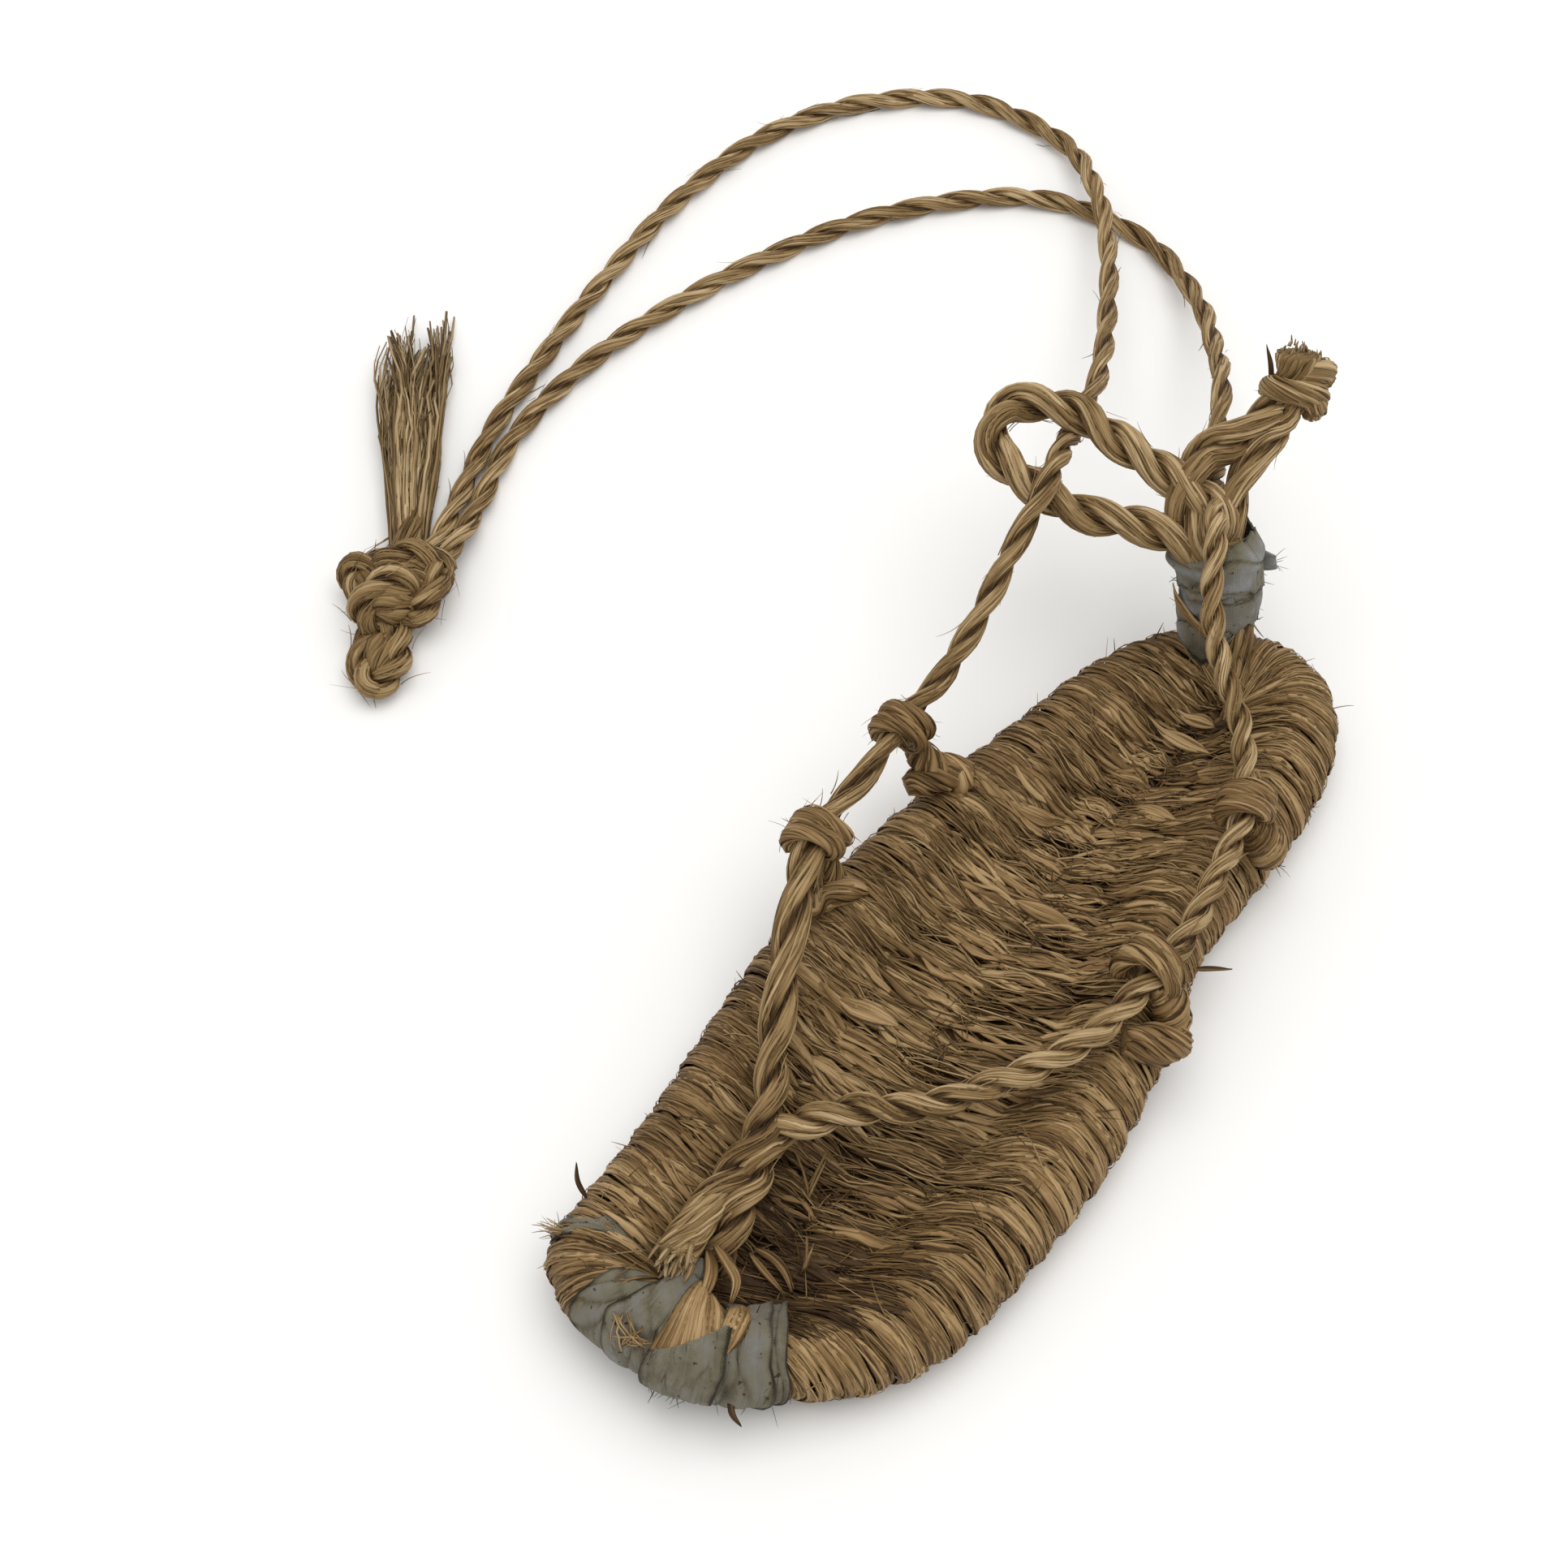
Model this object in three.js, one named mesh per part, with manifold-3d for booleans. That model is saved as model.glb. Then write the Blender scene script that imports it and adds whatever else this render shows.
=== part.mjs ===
import * as THREE from "three";
import { mergeVertices } from "three/addons/utils/BufferGeometryUtils.js";
import Module from "manifold-3d";

const wasm = await Module();
wasm.setup();

// A straw sandal. Millimetres, toe toward -Y, heel toward +Y, up is +Z.
const rimRadius = 10.5;        // half the thickness of the rolled rim
const footbedSink = 0.9;       // hollow of the footbed along its middle
const wrapWidth = 10;          // one turn of straw round the rim
const wrapRise = 0.9;          // a turn stands this much above the groove beside it
const weaveRise = 0.7;         // a weft bundle stands this much above its neighbour
const toeSpring = 4;           // the toe tip clears the ground by this
const toeSpringStart = -92;    // where the toe starts to lift, along Y
const toeSpringRun = 39;       // length over which the toe reaches its full lift
const archLift = 1.6;          // the waist clears the ground by this
const archMiddle = 12;         // middle of the arch along Y
const archHalf = 34;           // half the length of the arch
const gap = 0.35;              // clear space between neighbouring pieces
const seatGap = 0.45;          // clear space of what sits on the sole
const weld = 1e-4;             // vertices closer than this are one
const strapRadius = 3.3;       // two-ply straw cord
const tieRadius = 3.3;
const tieGround = 3.5;         // height of a tie cord's middle where it lies on the ground
const tailRadius = 4.2;        // the thong's cut tail is untwisted and thicker
const ringRope = { left: 4.3, right: 4.0 };
const neckRadius = 9;
const heelClothThickness = 1.7;
const heelClothFold = 0.5;     // its turns swell by this
const heelClothTurns = 2;
const toeClothThickness = 1.1;
const toeClothStep = 0.5;      // one band of the cloth lies over the next by this
const bindingThickness = 1.1;
const loopRope = 2.9;          // straw of a side loop
const ringSlack = 0.3;         // a side loop's ring is this much wider than its strap
const stemRadius = 5.2;        // root of a side loop on the rim
const cordSides = 8;
const ropeSides = 8;
const neckSides = 12;
const loopSides = 6;

// Edge of the sole from above, in pairs from the toe tip to the heel tip.
const outlineStations = [
  { leftX: -10, leftY: -126, rightX: -10, rightY: -126 },
  { leftX: -26, leftY: -125.4, rightX: 5.4, rightY: -123.2 },
  { leftX: -36.5, leftY: -118, rightX: 22.7, rightY: -112.4 },
  { leftX: -39.5, leftY: -101, rightX: 37.5, rightY: -98.6 },
  { leftX: -41, leftY: -79, rightX: 46.3, rightY: -80.6 },
  { leftX: -45.4, leftY: -51, rightX: 48.7, rightY: -51 },
  { leftX: -48.7, leftY: -22, rightX: 48.4, rightY: -22 },
  { leftX: -47, leftY: 11, rightX: 42.1, rightY: 10.9 },
  { leftX: -44.4, leftY: 36, rightX: 34.8, rightY: 36 },
  { leftX: -39.8, leftY: 63, rightX: 34, rightY: 64 },
  { leftX: -35.2, leftY: 89.4, rightX: 32.5, rightY: 88.8 },
  { leftX: -26.6, leftY: 108.6, rightX: 26.9, rightY: 108.9 },
  { leftX: -12.8, leftY: 121.2, rightX: 16.9, rightY: 121.9 },
  { leftX: 2, leftY: 126.2, rightX: 2, rightY: 126.2 },
];
const middleFirst = 0.145;     // the middle line starts this far along, and ends at middleLast
const middleLast = 0.865;

// Rim roll in rim radii: inset from the edge, height, the way out, and how far a wrap shows.
const rimProfile = [
  { row: "bottomInner", inset: 2.2, height: 0, outX: 0, outZ: -1, wrap: 0 },
  { row: "bottomOuter", inset: 0.72, height: 0, outX: 0, outZ: -1, wrap: 0 },
  { row: "lowerSide", inset: 0.2, height: 0.4, outX: -0.8, outZ: -0.6, wrap: 0.7 },
  { row: "side", inset: 0, height: 0.95, outX: -1, outZ: 0, wrap: 1 },
  { row: "upperSide", inset: 0.22, height: 1.52, outX: -0.87, outZ: 0.5, wrap: 1 },
  { row: "crownOuter", inset: 0.62, height: 1.88, outX: -0.5, outZ: 0.87, wrap: 1 },
  { row: "crown", inset: 1.1, height: 2, outX: 0, outZ: 1, wrap: 1 },
  { row: "crownInner", inset: 1.6, height: 1.8, outX: 0.35, outZ: 0.94, wrap: 1 },
  { row: "innerSlope", inset: 2.1, height: 1.42, outX: 0.5, outZ: 0.87, wrap: 0.9 },
  { row: "footbedEdge", inset: 2.6, height: 1.12, outX: 0.3, outZ: 0.95, wrap: 0.8 },
];
const rowOf = Object.fromEntries(rimProfile.map((entry, index) => [entry.row, index + 1]));
const samplesPerWrap = 3;
const wrapShare = [-1, 0, 0];  // groove, then the two sides of a turn's back

function pointsOf(table) {
  return table.map((entry) => new THREE.Vector3(entry.x, entry.y, entry.z));
}

function splineOf(points, closed = false) {
  return new THREE.CatmullRomCurve3(points, closed, "centripetal");
}

function smooth(value) {
  const t = THREE.MathUtils.clamp(value, 0, 1);
  return t * t * (3 - 2 * t);
}

// Left and right edges, read at the same share of the way from toe to heel.
const leftEdge = splineOf(outlineStations.map((entry) => new THREE.Vector3(entry.leftX, entry.leftY, 0)));
const rightEdge = splineOf(outlineStations.map((entry) => new THREE.Vector3(entry.rightX, entry.rightY, 0)));
leftEdge.arcLengthDivisions = 600;
rightEdge.arcLengthDivisions = 600;
const halfCount = samplesPerWrap * Math.round(leftEdge.getLength() / wrapWidth);
const columnCount = 2 * halfCount;

function middleAt(share) {
  const t = THREE.MathUtils.clamp(share, middleFirst, middleLast);
  return leftEdge.getPointAt(t).add(rightEdge.getPointAt(t)).multiplyScalar(0.5);
}

function columnAt(index) {
  const column = THREE.MathUtils.euclideanModulo(index, columnCount);
  const onLeft = column <= halfCount;
  const step = onLeft ? column : columnCount - column;
  const share = step / halfCount;
  const edge = (onLeft ? leftEdge : rightEdge).getPointAt(share);
  const middle = middleAt(share);
  const inward = middle.clone().sub(edge);
  const reach = inward.length();
  inward.normalize();
  const middleStep = THREE.MathUtils.clamp(step, middleFirst * halfCount, middleLast * halfCount);
  return { step, middleStep, edge, middle, inward, reach };
}

function groundLift(y) {
  const toe = toeSpring * smooth((toeSpringStart - y) / toeSpringRun);
  const arch = archLift * smooth(1 - Math.abs(y - archMiddle) / archHalf);
  return toe + arch;
}

// One point of the sole's skin, moved out by a clearance.
function skinPoint(column, row, clearance) {
  const { step, middleStep, edge, middle, inward, reach } = column;
  const lift = groundLift(edge.y);
  const wrap = wrapRise * wrapShare[step % samplesPerWrap];
  const lastRim = rimProfile[rimProfile.length - 1];
  if (row === 0) {
    return new THREE.Vector3(middle.x, middle.y, groundLift(middle.y) - clearance);
  }
  if (row <= rimProfile.length) {
    const entry = rimProfile[row - 1];
    const out = wrap * entry.wrap + clearance;
    const inset = rimRadius * entry.inset + entry.outX * out;
    const height = rimRadius * entry.height + entry.outZ * out;
    const base = entry.height === 0 ? groundLift(edge.y + inward.y * inset) : lift;
    return new THREE.Vector3(edge.x + inward.x * inset, edge.y + inward.y * inset, base + height);
  }
  const across = (row - rimProfile.length) / 2;
  const bundle = Math.floor((across < 1 ? step : middleStep) / samplesPerWrap);
  const inset = THREE.MathUtils.lerp(rimRadius * lastRim.inset, reach, across);
  const weave = weaveRise * ((bundle + row) % 2 === 0 ? 0.5 : -0.5);
  const sink = footbedSink * across;
  const bed = rimRadius * lastRim.height - sink + weave * (across < 1 ? 1 : 0.6);
  const bedLift = across < 1 ? lift : groundLift(middle.y);
  return new THREE.Vector3(edge.x + inward.x * inset, edge.y + inward.y * inset, bedLift + bed + clearance);
}

function geometryFrom(positions, faces) {
  const raw = new THREE.BufferGeometry();
  raw.setAttribute("position", new THREE.Float32BufferAttribute(positions, 3));
  raw.setIndex(faces);
  const merged = mergeVertices(raw, weld);
  const index = merged.getIndex().array;
  const kept = [];
  for (let face = 0; face < index.length; face += 3) {
    const [a, b, c] = [index[face], index[face + 1], index[face + 2]];
    if (a !== b && b !== c && c !== a) {
      kept.push(a, b, c);
    }
  }
  merged.setIndex(kept);
  return merged;
}

// A grid of points, closed round the columns.
function skinGeometry(clearance) {
  const rowCount = rimProfile.length + 3;
  const positions = [];
  const faces = [];
  for (let index = 0; index < columnCount; index += 1) {
    const column = columnAt(index);
    for (let row = 0; row < rowCount; row += 1) {
      positions.push(...skinPoint(column, row, clearance).toArray());
    }
  }
  for (let index = 0; index < columnCount; index += 1) {
    const next = (index + 1) % columnCount;
    for (let row = 0; row + 1 < rowCount; row += 1) {
      const a = index * rowCount + row;
      const b = next * rowCount + row;
      faces.push(a, a + 1, b, b, a + 1, b + 1);
    }
  }
  return geometryFrom(positions, faces);
}

// A shell that follows the rim between two columns and two rows.
function wrapShell(firstColumn, lastColumn, firstRow, lastRow, innerAt, outerAt) {
  const rows = lastRow - firstRow + 1;
  const columns = lastColumn - firstColumn + 1;
  const positions = [];
  const faces = [];
  const layers = [innerAt, outerAt];
  layers.forEach((clearanceAt) => {
    for (let index = firstColumn; index <= lastColumn; index += 1) {
      const column = columnAt(index);
      for (let row = firstRow; row <= lastRow; row += 1) {
        positions.push(...skinPoint(column, row, clearanceAt(index)).toArray());
      }
    }
  });
  const at = (layer, column, row) => layer * rows * columns + column * rows + row;
  const quad = (a, b, c, d) => faces.push(a, c, b, a, d, c);
  for (let column = 0; column + 1 < columns; column += 1) {
    for (let row = 0; row + 1 < rows; row += 1) {
      quad(at(1, column + 1, row), at(1, column + 1, row + 1), at(1, column, row + 1), at(1, column, row));
      quad(at(0, column, row + 1), at(0, column + 1, row + 1), at(0, column + 1, row), at(0, column, row));
    }
    quad(at(0, column, 0), at(0, column + 1, 0), at(1, column + 1, 0), at(1, column, 0));
    const top = rows - 1;
    quad(at(1, column, top), at(1, column + 1, top), at(0, column + 1, top), at(0, column, top));
  }
  for (let row = 0; row + 1 < rows; row += 1) {
    const end = columns - 1;
    quad(at(0, 0, row), at(1, 0, row), at(1, 0, row + 1), at(0, 0, row + 1));
    quad(at(1, end, row), at(0, end, row), at(0, end, row + 1), at(1, end, row + 1));
  }
  return geometryFrom(positions, faces);
}

// A round tube along a curve, its radius a function of the share of the way.
function tubeGeometry(curve, steps, sides, radiusAt, closed = false) {
  const frames = curve.computeFrenetFrames(steps, closed);
  const rings = closed ? steps : steps + 1;
  const positions = [];
  const faces = [];
  for (let ring = 0; ring < rings; ring += 1) {
    const share = ring / steps;
    const centre = curve.getPointAt(share);
    const radius = radiusAt(share);
    for (let side = 0; side < sides; side += 1) {
      const angle = (2 * Math.PI * side) / sides;
      const normal = frames.normals[ring].clone().multiplyScalar(Math.cos(angle) * radius);
      const binormal = frames.binormals[ring].clone().multiplyScalar(Math.sin(angle) * radius);
      positions.push(...centre.clone().add(normal).add(binormal).toArray());
    }
  }
  for (let ring = 0; ring < steps; ring += 1) {
    const next = closed ? (ring + 1) % steps : ring + 1;
    for (let side = 0; side < sides; side += 1) {
      const other = (side + 1) % sides;
      const a = ring * sides + side;
      const b = ring * sides + other;
      const c = next * sides + other;
      const d = next * sides + side;
      faces.push(a, b, c, a, c, d);
    }
  }
  if (!closed) {
    const last = steps * sides;
    for (let side = 1; side + 1 < sides; side += 1) {
      faces.push(0, side + 1, side);
      faces.push(last, last + side, last + side + 1);
    }
  }
  return geometryFrom(positions, faces);
}

// A cord of one radius along a curve.
function cordGeometry(curve, steps, sides, radius) {
  const corners = [];
  for (let side = 0; side < sides; side += 1) {
    const angle = (2 * Math.PI * side) / sides;
    corners.push(new THREE.Vector2(radius * Math.cos(angle), radius * Math.sin(angle)));
  }
  const cord = new THREE.ExtrudeGeometry(new THREE.Shape(corners), { steps, extrudePath: curve });
  cord.deleteAttribute("normal");
  cord.deleteAttribute("uv");
  return mergeVertices(cord, weld);
}

function solidOf(geometry) {
  const vertProperties = new Float32Array(geometry.getAttribute("position").array);
  const triVerts = new Uint32Array(geometry.getIndex().array);
  const mesh = new wasm.Mesh({ numProp: 3, vertProperties, triVerts });
  return new wasm.Manifold(mesh);
}

function geometryOf(solid) {
  const mesh = solid.getMesh();
  return geometryFrom(Array.from(mesh.vertProperties), Array.from(mesh.triVerts));
}

function join(solids) {
  return solids.reduce((whole, solid) => whole.add(solid));
}

const part = new THREE.Group();
part.name = "straw_sandal";
const materials = {
  straw: new THREE.MeshStandardMaterial({ color: 0x8f7650, roughness: 0.85, metalness: 0 }),
  cord: new THREE.MeshStandardMaterial({ color: 0x94794f, roughness: 0.85, metalness: 0 }),
  cloth: new THREE.MeshStandardMaterial({ color: 0x85827a, roughness: 0.95, metalness: 0 }),
};
Object.entries(materials).forEach(([name, material]) => {
  material.name = name;
});

function addPiece(name, geometry, material) {
  const mesh = new THREE.Mesh(geometry, material);
  mesh.name = name;
  part.add(mesh);
}

// The woven sole.
addPiece("sole", skinGeometry(0), materials.straw);
const soleClear = solidOf(skinGeometry(seatGap));

// The straps: a thong between the toes that parts into a left and a right cord.
const tailRoute = [
  { x: -10.6, y: -106.5, z: 23.2 },
  { x: -11.8, y: -99.5, z: 21 },
  { x: -13.2, y: -92, z: 21 },
  { x: -14, y: -85, z: 21.5 },
  { x: -14, y: -78, z: 22.5 },
  { x: -13.8, y: -69, z: 24 },
];
const thongRoute = [
  { x: -6.5, y: -97.2, z: 11 },
  { x: -7.2, y: -91, z: 17.5 },
  { x: -9.8, y: -79, z: 20.5 },
  { x: -13.8, y: -69, z: 24 },
];
const leftRoute = [
  { x: -13.8, y: -69, z: 24 },
  { x: -24, y: -54, z: 28 },
  { x: -32, y: -40, z: 33 },
  { x: -40, y: -26, z: 36.5 },
  { x: -48.4, y: -7.3, z: 38 },
  { x: -49.6, y: 13, z: 38 },
  { x: -51.4, y: 32, z: 40 },
  { x: -50.8, y: 44, z: 42 },
  { x: -52.6, y: 62, z: 47 },
  { x: -55, y: 79, z: 56 },
  { x: -57.2, y: 95, z: 64 },
  { x: -62.6, y: 110, z: 59 },
  { x: -67, y: 121.5, z: 52.5 },
  { x: -70.5, y: 131, z: 49 },
];
const rightRoute = [
  { x: -13.8, y: -69, z: 24 },
  { x: -7, y: -61.5, z: 26 },
  { x: 1, y: -52, z: 27 },
  { x: 10.6, y: -44.6, z: 28 },
  { x: 24.3, y: -23.4, z: 30 },
  { x: 31, y: -8, z: 31.5 },
  { x: 33, y: 10, z: 31.5 },
  { x: 33, y: 27, z: 30 },
  { x: 29.6, y: 45, z: 29.5 },
  { x: 24.4, y: 66.5, z: 30.5 },
  { x: 13.5, y: 83, z: 35 },
  { x: 4.6, y: 90, z: 40 },
  { x: -3, y: 96, z: 44 },
  { x: -9.6, y: 102, z: 51 },
  { x: -16, y: 110, z: 60 },
  { x: -24.3, y: 120.7, z: 56.5 },
  { x: -31.5, y: 133, z: 51 },
  { x: -39, y: 147, z: 47 },
];
const leftStrap = splineOf(pointsOf(leftRoute));
const rightStrap = splineOf(pointsOf(rightRoute));
const tail = cordGeometry(splineOf(pointsOf(tailRoute)), 8, cordSides, tailRadius);
const thong = cordGeometry(splineOf(pointsOf(thongRoute)), 8, cordSides, strapRadius);
const straps = join([
  solidOf(cordGeometry(leftStrap, 30, cordSides, strapRadius)),
  solidOf(cordGeometry(rightStrap, 34, cordSides, strapRadius)),
  solidOf(tail),
  solidOf(thong),
]).subtract(soleClear);
addPiece("upper_straps", geometryOf(straps), materials.cord);

// Side loops: a ring of straw round the strap and a root on the rim.
const loopRoots = [
  { place: "front_left", route: leftRoute, x: -48.4, y: -7.3, rootX: -40, rootY: -8, down: 18, edgeX: 0 },
  { place: "rear_left", route: leftRoute, x: -51.4, y: 32, rootX: -39, rootY: 37, down: 18, edgeX: 0 },
  { place: "front_right", route: rightRoute, x: 33, y: 10, rootX: 38, rootY: 10, down: 22, edgeX: 44 },
  { place: "rear_right", route: rightRoute, x: 24.4, y: 66.5, rootX: 30, rootY: 68, down: 22, edgeX: 36 },
];
const bulbRadius = 5.4;        // straw that turns over the outer side of the rim
const bulbLow = 7;             // its lower end, above the ground
const bulbLean = 1.5;          // the bulb is fullest past the middle of its root
const rootSteps = 7;
const searchSteps = 400;       // fineness of the search for a ring's place on its strap
const ringCorners = 8;         // points that a small ring's curve runs through
loopRoots.forEach((loop) => {
  const curve = loop.route === leftRoute ? leftStrap : rightStrap;
  const near = loop.route.find((entry) => entry.x === loop.x && entry.y === loop.y);
  const centre = new THREE.Vector3(near.x, near.y, near.z);
  let share = 0;
  for (let step = 1; step <= searchSteps; step += 1) {
    const trial = step / searchSteps;
    if (curve.getPointAt(trial).distanceTo(centre) < curve.getPointAt(share).distanceTo(centre)) {
      share = trial;
    }
  }
  const tangent = curve.getTangentAt(share);
  const across = new THREE.Vector3(0, 0, 1).cross(tangent).normalize();
  const upward = tangent.clone().cross(across).normalize();
  const ringRadius = strapRadius + gap + loopRope + ringSlack;
  const ringPoints = [];
  for (let step = 0; step < ringCorners; step += 1) {
    const angle = (2 * Math.PI * step) / ringCorners;
    const side = across.clone().multiplyScalar(Math.cos(angle) * ringRadius);
    const rise = upward.clone().multiplyScalar(Math.sin(angle) * ringRadius);
    ringPoints.push(centre.clone().add(side).add(rise));
  }
  const ring = solidOf(tubeGeometry(splineOf(ringPoints, true), 12, loopSides, () => loopRope, true));
  const foot = centre.clone().addScaledVector(upward, -ringRadius);
  const rootRoute = [foot, new THREE.Vector3(loop.rootX, loop.rootY, loop.down)];
  if (loop.edgeX > 0) {
    rootRoute.push(new THREE.Vector3(loop.edgeX, loop.rootY, bulbLow));
  }
  const stem = (way) => THREE.MathUtils.lerp(loopRope, stemRadius, smooth(way * 1.6));
  const bulb = (way) => loopRope + (bulbRadius - loopRope) * Math.sin(Math.PI * way ** bulbLean);
  const root = solidOf(tubeGeometry(splineOf(rootRoute), rootSteps, ropeSides, loop.edgeX > 0 ? bulb : stem));
  addPiece(`side_loop_${loop.place}`, geometryOf(join([ring, root]).subtract(soleClear)), materials.straw);
});

// Heel: the warp ends rise as a neck and turn into two rings, the right one with a knob knot.
const neckRoute = [
  { x: -10, y: 111, z: 12 },
  { x: -14.8, y: 114.4, z: 32 },
  { x: -19.2, y: 116.8, z: 51 },
];
const leftRingRoute = [
  { x: -33, y: 119, z: 58.4 },
  { x: -42, y: 119, z: 60 },
  { x: -51.5, y: 119.4, z: 61.5 },
  { x: -71, y: 119.6, z: 62.5 },
  { x: -82.5, y: 111.5, z: 61 },
  { x: -77.5, y: 98.6, z: 57.5 },
  { x: -64, y: 96, z: 55 },
  { x: -48, y: 97, z: 53.5 },
  { x: -34, y: 105, z: 52.5 },
  { x: -24, y: 111, z: 49 },
  { x: -18.4, y: 114.5, z: 43 },
];
const rightRingRoute = [
  { x: -18, y: 113.5, z: 42 },
  { x: -23, y: 111, z: 49 },
  { x: -29.3, y: 115.2, z: 55 },
  { x: -33.4, y: 123.2, z: 60.6 },
  { x: -33, y: 130, z: 64 },
  { x: -28.2, y: 135.2, z: 66.8 },
  { x: -23.4, y: 146, z: 71 },
  { x: -20.2, y: 144, z: 68 },
  { x: -20.6, y: 137.6, z: 64.6 },
  { x: -19.4, y: 129.8, z: 59.4 },
  { x: -17, y: 123.2, z: 54.2 },
  { x: -16.4, y: 117.5, z: 43 },
];
const knobCentre = { x: -23.6, y: 154, z: 72 };
const knobRadius = 8.4;
const neck = cordGeometry(splineOf(pointsOf(neckRoute)), 6, neckSides, neckRadius);
const leftRing = cordGeometry(splineOf(pointsOf(leftRingRoute)), 24, ropeSides, ringRope.left);
const rightRing = cordGeometry(splineOf(pointsOf(rightRingRoute)), 24, ropeSides, ringRope.right);
const knobBall = new THREE.IcosahedronGeometry(knobRadius, 1);
knobBall.deleteAttribute("normal");
knobBall.deleteAttribute("uv");
knobBall.translate(knobCentre.x, knobCentre.y, knobCentre.z);
const rings = join([
  solidOf(neck),
  solidOf(leftRing),
  solidOf(rightRing),
  solidOf(mergeVertices(knobBall, weld)),
]).subtract(soleClear);
addPiece("heel_rings", geometryOf(rings), materials.cord);

// Cloth wound round the neck of the heel.
const heelClothRoute = [
  { x: -11, y: 111.7, z: 15 },
  { x: -14.8, y: 114.4, z: 32 },
  { x: -17.6, y: 116, z: 44 },
];
const sleeveRadius = neckRadius + gap + heelClothThickness;
const sleeve = tubeGeometry(
  splineOf(pointsOf(heelClothRoute)), 6, neckSides,
  (way) => sleeveRadius + heelClothFold * Math.cos(way * heelClothTurns * 2 * Math.PI));
const neckClear = cordGeometry(splineOf(pointsOf(neckRoute)), 6, neckSides, neckRadius + gap);
const strapClear = join([
  solidOf(cordGeometry(rightStrap, 34, cordSides, strapRadius + gap)),
  solidOf(cordGeometry(splineOf(pointsOf(leftRingRoute)), 24, ropeSides, ringRope.left + gap)),
  solidOf(cordGeometry(splineOf(pointsOf(rightRingRoute)), 24, ropeSides, ringRope.right + gap)),
]);
const heelCloth = solidOf(sleeve).subtract(solidOf(neckClear)).subtract(soleClear).subtract(strapClear);
addPiece("heel_cloth", geometryOf(heelCloth), materials.cloth);

// Cloth wound round the toe of the rim, in bands, with two straw bindings over it.
const toeClothColumns = { first: -12, last: 6 };
const toeBands = [
  { first: -12, raised: 0 },
  { first: -9, raised: 1 },
  { first: -5, raised: 0 },
  { first: -1, raised: 1 },
  { first: 3, raised: 0 },
];
function clothTop(index) {
  const band = toeBands.filter((entry) => entry.first <= index).pop();
  return gap + toeClothThickness + toeClothStep * band.raised;
}
const toeCloth = wrapShell(
  toeClothColumns.first, toeClothColumns.last, rowOf.lowerSide, rowOf.crownInner, () => gap, clothTop);
addPiece("toe_cloth", toeCloth, materials.cloth);
const toeBindings = [
  { name: "toe_binding_left", first: -7, last: -4 },
  { name: "toe_binding_right", first: -11, last: -9 },
];
toeBindings.forEach((binding) => {
  const under = (index) => clothTop(index) + gap;
  const over = (index) => clothTop(index) + gap + bindingThickness;
  const shell = wrapShell(binding.first, binding.last, rowOf.upperSide, rowOf.crownInner, under, over);
  addPiece(binding.name, shell, materials.straw);
});

// The knot is a bundle of tight loops of the two cords.
const knotLoops = [
  { x: -200.5, y: -1.5, z: 8, long: 7.5, wide: 5, turn: 20, tilt: 35 },
  { x: -187, y: 5, z: 8.5, long: 7.5, wide: 5, turn: -60, tilt: 30 },
  { x: -191.5, y: -5, z: 10, long: 8.5, wide: 6, turn: 70, tilt: 60 },
  { x: -184.5, y: -17.5, z: 5, long: 9.5, wide: 5, turn: -55, tilt: 5 },
  { x: -194.5, y: 8.5, z: 9, long: 8, wide: 5.5, turn: 40, tilt: 60 },
];
const knotRope = 4.3;
const knotGround = 0.2;
function knotSolid(rope) {
  const loops = knotLoops.map((loop) => loopOf(loop, rope));
  return join(loops);
}

function loopOf(loop, rope) {
  const tilt = THREE.MathUtils.degToRad(loop.tilt);
  const turn = new THREE.Euler(tilt, 0, THREE.MathUtils.degToRad(loop.turn), "ZYX");
  const points = [];
  for (let step = 0; step < ringCorners; step += 1) {
    const angle = (2 * Math.PI * step) / ringCorners;
    const point = new THREE.Vector3(loop.long * Math.cos(angle), loop.wide * Math.sin(angle), 0);
    point.applyEuler(turn).add(new THREE.Vector3(loop.x, loop.y, loop.z));
    point.z = Math.max(point.z, knotRope + knotGround);
    points.push(point);
  }
  return solidOf(tubeGeometry(splineOf(points, true), 10, loopSides, () => rope, true));
}
addPiece("tie_knot", geometryOf(knotSolid(knotRope)), materials.cord);
const knotClear = knotSolid(knotRope + gap);

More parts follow.
